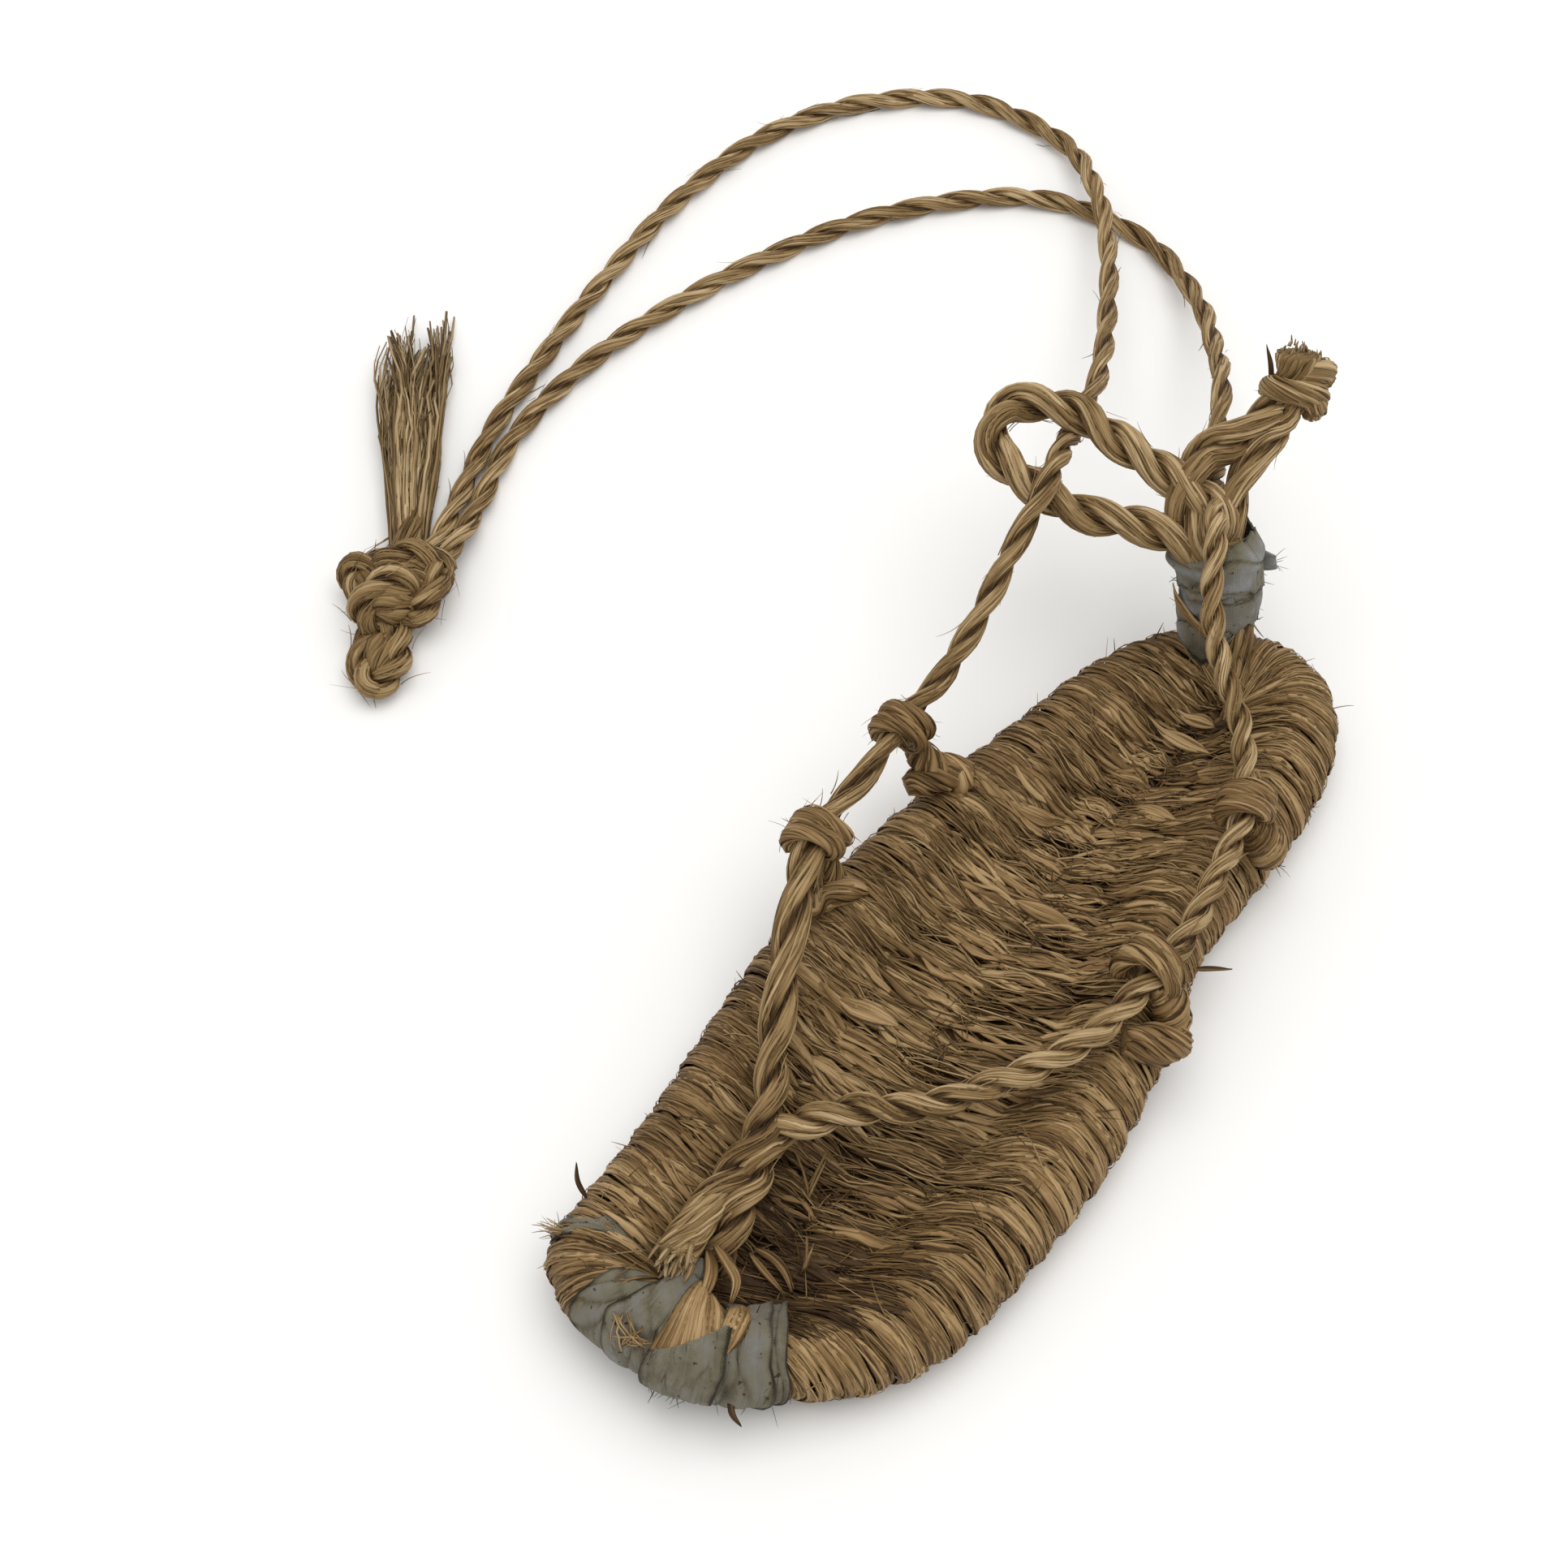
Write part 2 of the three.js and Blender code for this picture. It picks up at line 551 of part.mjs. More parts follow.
// The tie cords run on from the straps, come down to the ground and end in one knot.
const leftTieRoute = [
  { x: -76, y: 147, z: 42 },
  { x: -97, y: 186, z: 25 },
  { x: -117, y: 216.5, z: 15.5 },
  { x: -133.2, y: 235, z: 11.8 },
  { x: -157, y: 253, z: 4.5 },
  { x: -190, y: 252, z: tieGround },
  { x: -215, y: 231.7, z: tieGround },
  { x: -230, y: 202, z: tieGround },
  { x: -233.5, y: 163.5, z: tieGround },
  { x: -229, y: 123.5, z: tieGround },
  { x: -221.5, y: 84, z: tieGround },
  { x: -215.5, y: 60, z: tieGround },
  { x: -205.5, y: 36, z: 4 },
  { x: -198.5, y: 21, z: 6.5 },
  { x: -195, y: 12.5, z: 9 },
];
const rightTieRoute = [
  { x: -52, y: 171, z: 39 },
  { x: -66, y: 192, z: 26 },
  { x: -81.5, y: 212.2, z: 14.5 },
  { x: -97, y: 226.3, z: 6.8 },
  { x: -112, y: 234.8, z: tieGround },
  { x: -134.4, y: 235, z: tieGround },
  { x: -154.4, y: 227, z: tieGround },
  { x: -181.4, y: 196.3, z: tieGround },
  { x: -199, y: 156.5, z: tieGround },
  { x: -210, y: 110, z: tieGround },
  { x: -211.5, y: 84.5, z: tieGround },
  { x: -207.5, y: 60, z: tieGround },
  { x: -197.2, y: 36, z: 4 },
  { x: -190.2, y: 20, z: 6.5 },
  { x: -187, y: 9.5, z: 9 },
];
function tieFrom(strap, route) {
  const start = strap.getPointAt(1).addScaledVector(strap.getTangentAt(1), gap);
  return splineOf([start, ...pointsOf(route)]);
}
const leftTie = cordGeometry(tieFrom(leftStrap, leftTieRoute), 34, cordSides, tieRadius);
const rightTie = cordGeometry(tieFrom(rightStrap, rightTieRoute), 32, cordSides, tieRadius);
addPiece("tie_cord_left", geometryOf(solidOf(leftTie).subtract(knotClear)), materials.cord);
addPiece("tie_cord_right", geometryOf(solidOf(rightTie).subtract(knotClear)), materials.cord);

// The tassel: the cords' loose ends, a flat brush with locks raised along it.
const tasselStations = [
  { along: 0, wide: 3.6, thick: 4.6 },
  { along: 12, wide: 4.2, thick: 4.6 },
  { along: 26, wide: 6, thick: 4.8 },
  { along: 48, wide: 8.6, thick: 4.8 },
  { along: 70, wide: 10.8, thick: 4.4 },
  { along: 86, wide: 12.4, thick: 3.8 },
];
const tasselBase = new THREE.Vector3(-200.2, 9.7, 0);
const tasselWay = new THREE.Vector3(-0.674, 0.739, 0).normalize();
const tasselAcross = new THREE.Vector3(-tasselWay.y, tasselWay.x, 0);
const tasselLocks = 20;
const lockDepth = 0.16;
const tasselGround = 0.3;
const tasselPositions = [];
const tasselFaces = [];
tasselStations.forEach((station) => {
  for (let side = 0; side < tasselLocks; side += 1) {
    const angle = (2 * Math.PI * side) / tasselLocks;
    const lock = side % 2 === 0 ? 1 : 1 - lockDepth;
    const point = tasselBase.clone().addScaledVector(tasselWay, station.along);
    point.addScaledVector(tasselAcross, station.wide * lock * Math.cos(angle));
    point.z = tasselGround + station.thick * (1 + lock * Math.sin(angle));
    tasselPositions.push(...point.toArray());
  }
});
for (let ring = 0; ring + 1 < tasselStations.length; ring += 1) {
  for (let side = 0; side < tasselLocks; side += 1) {
    const other = (side + 1) % tasselLocks;
    const a = ring * tasselLocks + side;
    const b = ring * tasselLocks + other;
    tasselFaces.push(a, b, b + tasselLocks, a, b + tasselLocks, a + tasselLocks);
  }
}
const tasselEnd = (tasselStations.length - 1) * tasselLocks;
for (let side = 1; side + 1 < tasselLocks; side += 1) {
  tasselFaces.push(0, side + 1, side);
  tasselFaces.push(tasselEnd, tasselEnd + side, tasselEnd + side + 1);
}
const brush = solidOf(geometryFrom(tasselPositions, tasselFaces));
addPiece("tassel", geometryOf(brush.subtract(knotClear)), materials.cord);

// The origin lies under the middle of the shoe, its cords left out.
const cordNames = ["tie_cord_left", "tie_cord_right", "tie_knot", "tassel"];
const box = new THREE.Box3();
part.children.filter((mesh) => !cordNames.includes(mesh.name)).forEach((mesh) => {
  mesh.geometry.computeBoundingBox();
  box.union(mesh.geometry.boundingBox);
});
const middle = box.getCenter(new THREE.Vector3());
part.children.forEach((mesh) => {
  mesh.geometry.translate(-middle.x, -middle.y, -box.min.z);
});

export default part;
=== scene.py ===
import math
import bmesh
import bpy
import numpy as np
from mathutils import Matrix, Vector


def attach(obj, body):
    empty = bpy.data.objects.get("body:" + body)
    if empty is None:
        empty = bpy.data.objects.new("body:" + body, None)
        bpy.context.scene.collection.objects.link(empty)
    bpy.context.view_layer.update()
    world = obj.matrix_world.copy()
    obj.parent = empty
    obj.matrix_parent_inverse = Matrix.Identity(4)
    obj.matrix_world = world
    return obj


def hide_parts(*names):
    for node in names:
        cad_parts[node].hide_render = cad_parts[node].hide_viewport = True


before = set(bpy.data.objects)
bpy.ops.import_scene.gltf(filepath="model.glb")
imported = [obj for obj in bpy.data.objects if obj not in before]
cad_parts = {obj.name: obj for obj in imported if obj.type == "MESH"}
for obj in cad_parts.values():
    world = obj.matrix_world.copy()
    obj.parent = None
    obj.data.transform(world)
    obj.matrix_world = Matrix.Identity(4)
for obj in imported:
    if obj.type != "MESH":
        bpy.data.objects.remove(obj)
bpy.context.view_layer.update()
chance = np.random.default_rng(20)
fullTurn = 2 * math.pi
mm = 0.001
straightUp = np.array([0, 0, 1.0])
toFrame = np.array([18.841, -17.279, 0.0])  # mm, from the drawing's zero to the frame's

# the photograph's own view: angles in degrees, the rest in mm
cameraView = {
    "lens": 59.63, "sensor": 36, "nearest": 20.0, "azimuth": 38.5, "elevation": 56.0, "distance": 661.2,
    "target": (-79.03, 19.22, 0.0)}
turnAngle, riseAngle = math.radians(cameraView["azimuth"]), math.radians(cameraView["elevation"])
backWay = Vector((
    math.sin(turnAngle) * math.cos(riseAngle),
    -math.cos(turnAngle) * math.cos(riseAngle),
    math.sin(riseAngle),
))
cameraData = bpy.data.cameras.new("camera")
cameraData.lens = cameraView["lens"]
cameraData.sensor_width = cameraView["sensor"]
cameraData.clip_start = cameraView["nearest"] * mm
camera = bpy.data.objects.new("camera", cameraData)
lookedAt = Vector((np.array(cameraView["target"]) + toFrame) * mm)
camera.location = lookedAt + backWay * cameraView["distance"] * mm
camera.rotation_mode = "QUATERNION"
camera.rotation_quaternion = (-backWay).to_track_quat("-Z", "Y")
bpy.context.collection.objects.link(camera)
bpy.context.scene.camera = camera
bpy.context.scene.view_settings.view_transform = "Standard"  # so that hex colours come out as written
print("camera set")


# vectors made one long, each divided by its own length
def unit(vectors):
    return vectors / np.maximum(np.linalg.norm(vectors, axis=-1, keepdims=True), 1e-9)


# 0 to 1 with flat ends: three times the square less twice the cube
def easeStep(value):
    held = np.clip(value, 0, 1)
    return held * held * (3 - 2 * held)


spanPoints = 32


# Catmull-Rom curve whose knots lie a square root of the distance apart, with as many points in each span
def denseCurve(points):
    knots = np.asarray(points, float)
    knots = np.vstack([2 * knots[0] - knots[1], knots, 2 * knots[-1] - knots[-2]])
    gaps = np.sqrt(np.linalg.norm(np.diff(knots, axis=0), axis=1))[:, None]
    before, here, after = gaps[:-2], gaps[1:-1], gaps[2:]
    earlier, first, last, later = knots[:-3], knots[1:-2], knots[2:-1], knots[3:]
    pace = (last - first) / here
    firstSlope = ((first - earlier) / before - (last - earlier) / (before + here) + pace) * here
    lastSlope = (pace - (later - first) / (here + after) + (later - last) / after) * here
    run = (np.arange(spanPoints) / spanPoints)[None, :, None]
    spans = (
        (2 * run**3 - 3 * run**2 + 1) * first[:, None]
        + (run**3 - 2 * run**2 + run) * firstSlope[:, None]
        + (3 * run**2 - 2 * run**3) * last[:, None]
        + (run**3 - run**2) * lastSlope[:, None]
    )
    return np.vstack([spans.reshape(-1, knots.shape[1]), knots[-2]])


# way walked along a path at each of its points: the steps so far, added up
def lengthAlong(path):
    return np.concatenate([[0], np.cumsum(np.linalg.norm(np.diff(path, axis=0), axis=1))])


# the same curve read at even steps of its own length
def evenCurve(points, count):
    dense = denseCurve(points)
    way = lengthAlong(dense)
    even = np.linspace(0, way[-1], count)
    return np.stack([np.interp(even, way, dense[:, axis]) for axis in range(dense.shape[1])], axis=1)


# the same curve with as many even steps as its length holds, three at the least
def pathBySteps(points, step):
    return evenCurve(points, max(4, int(round(lengthAlong(denseCurve(points))[-1] / step)) + 1))


# a measure given at a few ways along something, read at each of the ways asked for
def atWays(table, way):
    return np.interp(way, *np.array(table, float).T)


# the side of a path, square to it and to up, and its rise, square to it and to that side
def sideAndRise(path, up):
    ahead = unit(np.gradient(path, axis=0))
    side = unit(np.cross(np.asarray(up, float), ahead))
    return side, np.cross(ahead, side)


# slow drift between about -1 and 1 along each of many strands: the mean of three uneven sines
def wander(number, way, wave):
    phase = chance.uniform(0, fullTurn, (number, 3, 1))
    stretch = wave * chance.uniform(0.6, 1.8, (number, 3, 1))
    return 1.4 * np.sin(fullTurn * np.asarray(way)[None, None, :] / stretch + phase).mean(axis=1)


# width along a strand: a least share, plus the way from the nearer end times a steepness, 1 at the most
def slimEnds(run, least, steep, last=1):
    return np.clip(least + np.minimum(run, last - run) * steep, 0, 1)


flatTopSpots = (0, 0.13, 0.37, 0.5)  # where a flat-topped blade's corners lie round it, by girth


# section of a broad blade at each station: two low edges and a flat top half as wide
def flatTopped(middle, reach, tall):
    return np.stack([
        middle + reach - tall, middle + reach * 0.5 + tall,
        middle - reach * 0.5 + tall, middle - reach - tall], axis=2)


# section of a fine blade or a hair: two edges and a ridge between them
def ridged(middle, reach, ridge):
    return np.stack([middle + reach, middle + ridge, middle - reach], axis=2)


fibrePattern = {"room": 700.0, "acrossShare": 0.37}  # mm of pattern, and the share of it across


# many slim closed solids at once from rings of points (strand, station, side): quads between rings, a fan on
# each end; the tone is one number, or one for each strand, station or point
def closedStrands(rings, tone, spots=None):
    number, steps, sides = rings.shape[:3]
    size = steps * sides + 2
    ends = rings[:, [0, -1]].mean(axis=2)
    points = np.concatenate([rings.reshape(number, steps * sides, 3), ends], axis=1)
    station = np.arange(steps - 1)[:, None] * sides
    here = np.arange(sides)
    after = (here + 1) % sides
    nextStation = station + sides
    quads = np.stack([station + here, station + after, nextStation + after, nextStation + here], axis=-1)
    last = (steps - 1) * sides
    firstFan = np.stack([np.full(sides, size - 2), after, here], axis=1)
    lastFan = np.stack([np.full(sides, size - 1), last + here, last + after], axis=1)
    base = np.arange(number)[:, None, None] * size
    walked = np.linalg.norm(np.diff(rings.mean(axis=2), axis=1), axis=2)
    along = np.concatenate([np.zeros((number, 1)), np.cumsum(walked, axis=1)], axis=1)
    girth = np.linalg.norm(np.roll(rings, -1, axis=2) - rings, axis=3).sum(axis=2).mean(axis=1)
    own = chance.uniform(0, fibrePattern["room"], number)  # each strand reads its own stretch of pattern
    place = here / sides if spots is None else np.array(spots)
    uv = np.empty((number, steps, sides, 2))
    uv[..., 0] = (along + own[:, None])[:, :, None]
    uv[..., 1] = girth[:, None, None] * place + own[:, None, None] * fibrePattern["acrossShare"]
    uv = uv.reshape(number, steps * sides, 2)
    uv = np.concatenate([uv, uv[:, [0, -1]]], axis=1)
    shade = np.reshape(tone, np.shape(tone) + (1,) * (3 - np.ndim(tone)))
    shade = np.broadcast_to(shade, (number, steps, sides)).reshape(number, steps * sides)
    shade = np.concatenate([shade, shade[:, [0, -1]]], axis=1)
    return {
        "points": points.reshape(-1, 3),
        "quads": (base + quads.reshape(1, -1, 4)).reshape(-1, 4),
        "tris": (base + np.concatenate([firstFan, lastFan])[None]).reshape(-1, 3),
        "uv": uv.reshape(-1, 2),
        "tone": shade.ravel(),
    }


# one open grid of points (row, column), its pattern measured in mm along both
def gridPart(points, tone):
    rows, columns = points.shape[:2]
    index = np.arange(rows * columns).reshape(rows, columns)
    quads = np.stack([index[:-1, :-1], index[1:, :-1], index[1:, 1:], index[:-1, 1:]], axis=-1)
    down = np.linalg.norm(np.diff(points, axis=0), axis=2).mean(axis=1)
    over = np.linalg.norm(np.diff(points, axis=1), axis=2).mean(axis=0)
    downWay, overWay = [np.concatenate([[0], np.cumsum(steps)]) for steps in (down, over)]
    uv = np.stack(np.meshgrid(downWay, overWay, indexing="ij"), axis=-1)
    return {
        "points": points.reshape(-1, 3),
        "quads": quads.reshape(-1, 4),
        "tris": np.empty((0, 3), int),
        "uv": uv.reshape(-1, 2),
        "tone": np.broadcast_to(tone, (rows, columns)).ravel(),
    }


# parts as one: their arrays end to end, each part's faces counted on from the points before it
def joinParts(parts):
    starts = np.cumsum([0] + [len(part["points"]) for part in parts[:-1]])
    whole = {key: np.concatenate([part[key] for part in parts]) for key in ("points", "uv", "tone")}
    for key in ("quads", "tris"):
        whole[key] = np.concatenate([part[key] + start for part, start in zip(parts, starts)])
    return whole


leastHeight = 0.02  # mm, so that nothing goes into the ground


# arrays in mm become a mesh object in metres that rides on the part's one body
def addPiece(name, parts, finish, nodes=()):
    whole = joinParts(parts)
    whole["points"][:, 2] = np.maximum(whole["points"][:, 2], leastHeight)
    corners = np.concatenate([whole["quads"].ravel(), whole["tris"].ravel()])
    quadCount, triCount = len(whole["quads"]), len(whole["tris"])
    starts = np.concatenate([np.arange(quadCount) * 4, quadCount * 4 + np.arange(triCount) * 3])
    mesh = bpy.data.meshes.new(name)
    mesh.vertices.add(len(whole["points"]))
    mesh.vertices.foreach_set("co", ((whole["points"] + toFrame) * mm).astype(np.float32).ravel())
    mesh.loops.add(len(corners))
    mesh.loops.foreach_set("vertex_index", corners.astype(np.int32))
    mesh.polygons.add(quadCount + triCount)
    mesh.polygons.foreach_set("loop_start", starts.astype(np.int32))
    mesh.polygons.foreach_set("use_smooth", np.ones(quadCount + triCount, bool))
    layer = mesh.uv_layers.new(name="fibreLay")
    layer.data.foreach_set("uv", whole["uv"][corners].astype(np.float32).ravel())
    shade = mesh.attributes.new("tone", "FLOAT", "POINT")
    shade.data.foreach_set("value", whole["tone"].astype(np.float32))
    mesh.update(calc_edges=True)
    mesh.materials.append(finish)
    piece = bpy.data.objects.new(name, mesh)
    bpy.context.collection.objects.link(piece)
    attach(piece, "root")
    if nodes:
        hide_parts(*nodes)
    print(name, 2 * quadCount + triCount, "triangles")
    return piece


# a piece's name from its node's: side_loop_rear_left becomes sideLoopRearLeft
def pieceName(node):
    first, *others = node.split("_")
    return first + "".join(word.title() for word in others)


# sRGB hex to the linear colour that a shader takes, by the sRGB curve
def hexColour(code):
    parts = np.array([int(code[place:place + 2], 16) for place in (1, 3, 5)]) / 255
    linear = np.where(parts <= 0.04045, parts / 12.92, ((parts + 0.055) / 1.055) ** 2.4)
    return (*linear.tolist(), 1.0)


# a new material and its shader
def newFinish(name):
    material = bpy.data.materials.new(name)
    material.use_nodes = True
    return material, material.node_tree.nodes["Principled BSDF"]


# one node with its settings; a socket among the inputs is linked, anything else is set
def addNode(tree, kind, settings=None, inputs=None, stops=None):
    node = tree.nodes.new(kind)
    for name, value in (settings or {}).items():
        setattr(node, name, value)
    for socket, value in (inputs or {}).items():
        if isinstance(value, bpy.types.NodeSocket):
            tree.links.new(value, node.inputs[socket])
        else:
            node.inputs[socket].default_value = value
    for place, (share, code) in enumerate(stops or []):
        element = node.color_ramp.elements[place] if place < 2 else node.color_ramp.elements.new(share)
        element.position = share
        element.color = hexColour(code)
    return node


# dry straw: each blade has its own tone, with painted shade added to it in gaps, valleys and hollows; fine
# lines and dark slits run along it, and there are darker soiled patches; lines, slits and sheen come in
# between two levels of their noise
def strawFinish(name, look):
    material, shader = newFinish(name)
    tree = material.node_tree
    tone = addNode(tree, "ShaderNodeAttribute", {"attribute_name": "tone"})
    lay = addNode(tree, "ShaderNodeUVMap", {"uv_map": "fibreLay"})
    fineSize = (1 / look["fibreLong"], 1 / look["fibreWide"], 1)
    fine = addNode(tree, "ShaderNodeMapping", inputs={"Vector": lay.outputs["UV"], "Scale": fineSize})
    fibre = addNode(tree, "ShaderNodeTexNoise", inputs={
        "Vector": fine.outputs["Vector"], "Scale": 1.0, "Detail": 3.0, "Roughness": 0.65})
    line = addNode(tree, "ShaderNodeMapRange", inputs={
        "Value": fibre.outputs["Fac"], "From Min": 0.33, "From Max": 0.62})
    slitSize = (1 / look["fibreLong"], 1 / look["slitWide"], 1)
    slits = addNode(tree, "ShaderNodeMapping", inputs={"Vector": lay.outputs["UV"], "Scale": slitSize})
    slit = addNode(tree, "ShaderNodeTexNoise", inputs={
        "Vector": slits.outputs["Vector"], "Scale": 1.0, "Detail": 1.0})
    slitDark = addNode(tree, "ShaderNodeMapRange", inputs={
        "Value": slit.outputs["Fac"], "From Min": 0.57, "From Max": 0.67, "To Max": look["slitShare"]})
    place = addNode(tree, "ShaderNodeTexCoord")
    soil = addNode(tree, "ShaderNodeTexNoise", inputs={
        "Vector": place.outputs["Object"], "Scale": 1 / (look["soilWide"] * mm),
        "Detail": 4.0, "Roughness": 0.6})
    lined = addNode(tree, "ShaderNodeMath", {"operation": "MULTIPLY_ADD"}, {
        0: line.outputs["Result"], 1: look["fibreShare"], 2: tone.outputs["Fac"]})
    slitted = addNode(tree, "ShaderNodeMath", {"operation": "SUBTRACT"}, {
        0: lined.outputs["Value"], 1: slitDark.outputs["Result"]})
    soiled = addNode(tree, "ShaderNodeMath", {"operation": "MULTIPLY_ADD"}, {
        0: soil.outputs["Fac"], 1: look["soilShare"], 2: slitted.outputs["Value"]})
    level = addNode(tree, "ShaderNodeMapRange", inputs={
        "Value": soiled.outputs["Value"], "From Min": look["low"], "From Max": look["high"]})
    colour = addNode(tree, "ShaderNodeValToRGB", inputs={"Fac": level.outputs["Result"]}, stops=look["stops"])
    dull = addNode(tree, "ShaderNodeMapRange", inputs={
        "Value": fibre.outputs["Fac"], "From Min": 0.3, "From Max": 0.7,
        "To Min": look["rough"], "To Max": look["smooth"]})
    relief = addNode(tree, "ShaderNodeBump", inputs={
        "Height": line.outputs["Result"], "Strength": look["relief"], "Distance": look["reliefDeep"] * mm})
    tree.links.new(colour.outputs["Color"], shader.inputs["Base Color"])
    tree.links.new(dull.outputs["Result"], shader.inputs["Roughness"])
    tree.links.new(relief.outputs["Normal"], shader.inputs["Normal"])
    shader.inputs["Specular IOR Level"].default_value = look["gloss"]
    return material


# blades of rice straw: tan backs with fine brown lines and a low dry sheen
strawBlade = strawFinish("strawBlade", {
    "fibreLong": 16.0, "fibreWide": 0.5, "fibreShare": 0.5, "slitWide": 0.7, "slitShare": 0.5,
    "soilWide": 16.0, "soilShare": 0.7, "low": 0.32, "high": 1.54,
    "smooth": 0.52, "rough": 0.82, "relief": 0.55, "reliefDeep": 0.18, "gloss": 0.28,
    "stops": [(0.0, "#3f2b13"), (0.3, "#694f2b"), (0.65, "#8d7048"), (1.0, "#ad9166")]})
# the packed straw that shows in the gaps of the weave, its own colour darkened with painted shade
shadedCoreStraw = strawFinish("shadedCoreStraw", {
    "fibreLong": 6.0, "fibreWide": 0.6, "fibreShare": 0.5, "slitWide": 0.8, "slitShare": 0.3,
    "soilWide": 9.0, "soilShare": 0.5, "low": 0.2, "high": 1.5,
    "smooth": 0.85, "rough": 0.95, "relief": 0.9, "reliefDeep": 0.6, "gloss": 0.12,
    "stops": [(0.0, "#23160a"), (0.5, "#3f2c15"), (1.0, "#5f482a")]})
# twisted cord: the same straw drawn finer, a little greyer and more even
strawCord = strawFinish("strawCord", {
    "fibreLong": 20.0, "fibreWide": 0.45, "fibreShare": 0.55, "slitWide": 0.6, "slitShare": 0.45,
    "soilWide": 22.0, "soilShare": 0.6, "low": 0.3, "high": 1.6,
    "smooth": 0.55, "rough": 0.82, "relief": 0.55, "reliefDeep": 0.16, "gloss": 0.25,
    "stops": [(0.0, "#3d2a13"), (0.3, "#6b512e"), (0.65, "#957b52"), (1.0, "#bda47d")]})

# faded cotton: grey threads one over the other, olive where it is soiled, paler where it is worn, with dark
# specks; the wave texture's own band is 0.314 wide, so its scale gives one band for each thread
clothLook = {
    "thread": 0.5, "wornWide": 7.0, "speckWide": 1.7, "relief": 0.5, "reliefDeep": 0.15,
    "rough": 0.92, "gloss": 0.12, "sheen": 0.1, "speck": "#39321f",
    "stops": [(0.1, "#2f291b"), (0.4, "#5a5443"), (0.65, "#736d5b"), (0.85, "#777570"), (1.0, "#8b8b88")]}
wornCloth, clothShader = newFinish("wornCloth")
clothTree = wornCloth.node_tree
clothLay = addNode(clothTree, "ShaderNodeUVMap", {"uv_map": "fibreLay"})
clothPlace = addNode(clothTree, "ShaderNodeTexCoord")
# the tone attribute brings in each band's painted light and shade from its folds, creases and hems
turnTone = addNode(clothTree, "ShaderNodeAttribute", {"attribute_name": "tone"})
warpLines, weftLines = [
    addNode(clothTree, "ShaderNodeTexWave", {"wave_type": "BANDS", "bands_direction": direction}, {
        "Vector": clothLay.outputs["UV"], "Scale": 0.314 / clothLook["thread"],
        "Distortion": 0.8, "Detail": 1.0})
    for direction in "XY"]
threads = addNode(clothTree, "ShaderNodeMath", {"operation": "ADD"}, {
    0: warpLines.outputs["Fac"], 1: weftLines.outputs["Fac"]})
wornNoise, speckNoise = [
    addNode(clothTree, "ShaderNodeTexNoise", inputs={
        "Vector": clothPlace.outputs["Object"], "Scale": 1 / (wide * mm),
        "Detail": detail, "Roughness": roughness})
    for wide, detail, roughness in ((clothLook["wornWide"], 6.0, 0.65), (clothLook["speckWide"], 1.0, 0.5))]
wornLevel = addNode(clothTree, "ShaderNodeMath", {"operation": "MULTIPLY_ADD"}, {
    0: threads.outputs["Value"], 1: 0.1, 2: wornNoise.outputs["Fac"]})
tonedLevel = addNode(clothTree, "ShaderNodeMath", {"operation": "MULTIPLY_ADD"}, {
    0: wornLevel.outputs["Value"], 1: 1.1, 2: turnTone.outputs["Fac"]})
wornColour = addNode(
    clothTree, "ShaderNodeValToRGB", inputs={"Fac": tonedLevel.outputs["Value"]}, stops=clothLook["stops"])
speckShare = addNode(clothTree, "ShaderNodeMapRange", inputs={
    "Value": speckNoise.outputs["Fac"], "From Min": 0.68, "From Max": 0.74})
speckled = addNode(clothTree, "ShaderNodeMix", {"data_type": "RGBA"}, {
    0: speckShare.outputs["Result"], 6: wornColour.outputs["Color"], 7: hexColour(clothLook["speck"])})
clothRelief = addNode(clothTree, "ShaderNodeBump", inputs={
    "Height": threads.outputs["Value"], "Strength": clothLook["relief"],
    "Distance": clothLook["reliefDeep"] * mm})
clothTree.links.new(speckled.outputs[2], clothShader.inputs["Base Color"])
clothTree.links.new(clothRelief.outputs["Normal"], clothShader.inputs["Normal"])
clothShader.inputs["Roughness"].default_value = clothLook["rough"]
clothShader.inputs["Specular IOR Level"].default_value = clothLook["gloss"]
clothShader.inputs["Sheen Weight"].default_value = clothLook["sheen"]
print("finishes ready")

# how plies and blades lie. Pair and single: a ply's middle off the path, half depth and half width, in cord
# radii. Scatter and half are shares of a blade's room round the ply, drift is in radians over the number of
# blades, turnBack is a share of the ply's own turn, and endRun is in mm.
twist = {
    "pair": (0.43, 0.5, 0.6), "single": (0.0, 0.94, 0.94),
    "turnBack": 0.75, "scatter": 0.35, "drift": 2.4, "uneven": 0.055, "half": (0.25, 0.9), "thick": 0.05,
    "endHalf": 0.4, "endRun": 2.5, "bodySides": 12, "body": 0.985}


# 0 on the outer face of a ply to 1 where it faces the other one: the cosine turned over, with eased ends
def betweenPlies(angle):
    return easeStep((-np.cos(angle) - 0.05) / 0.6)
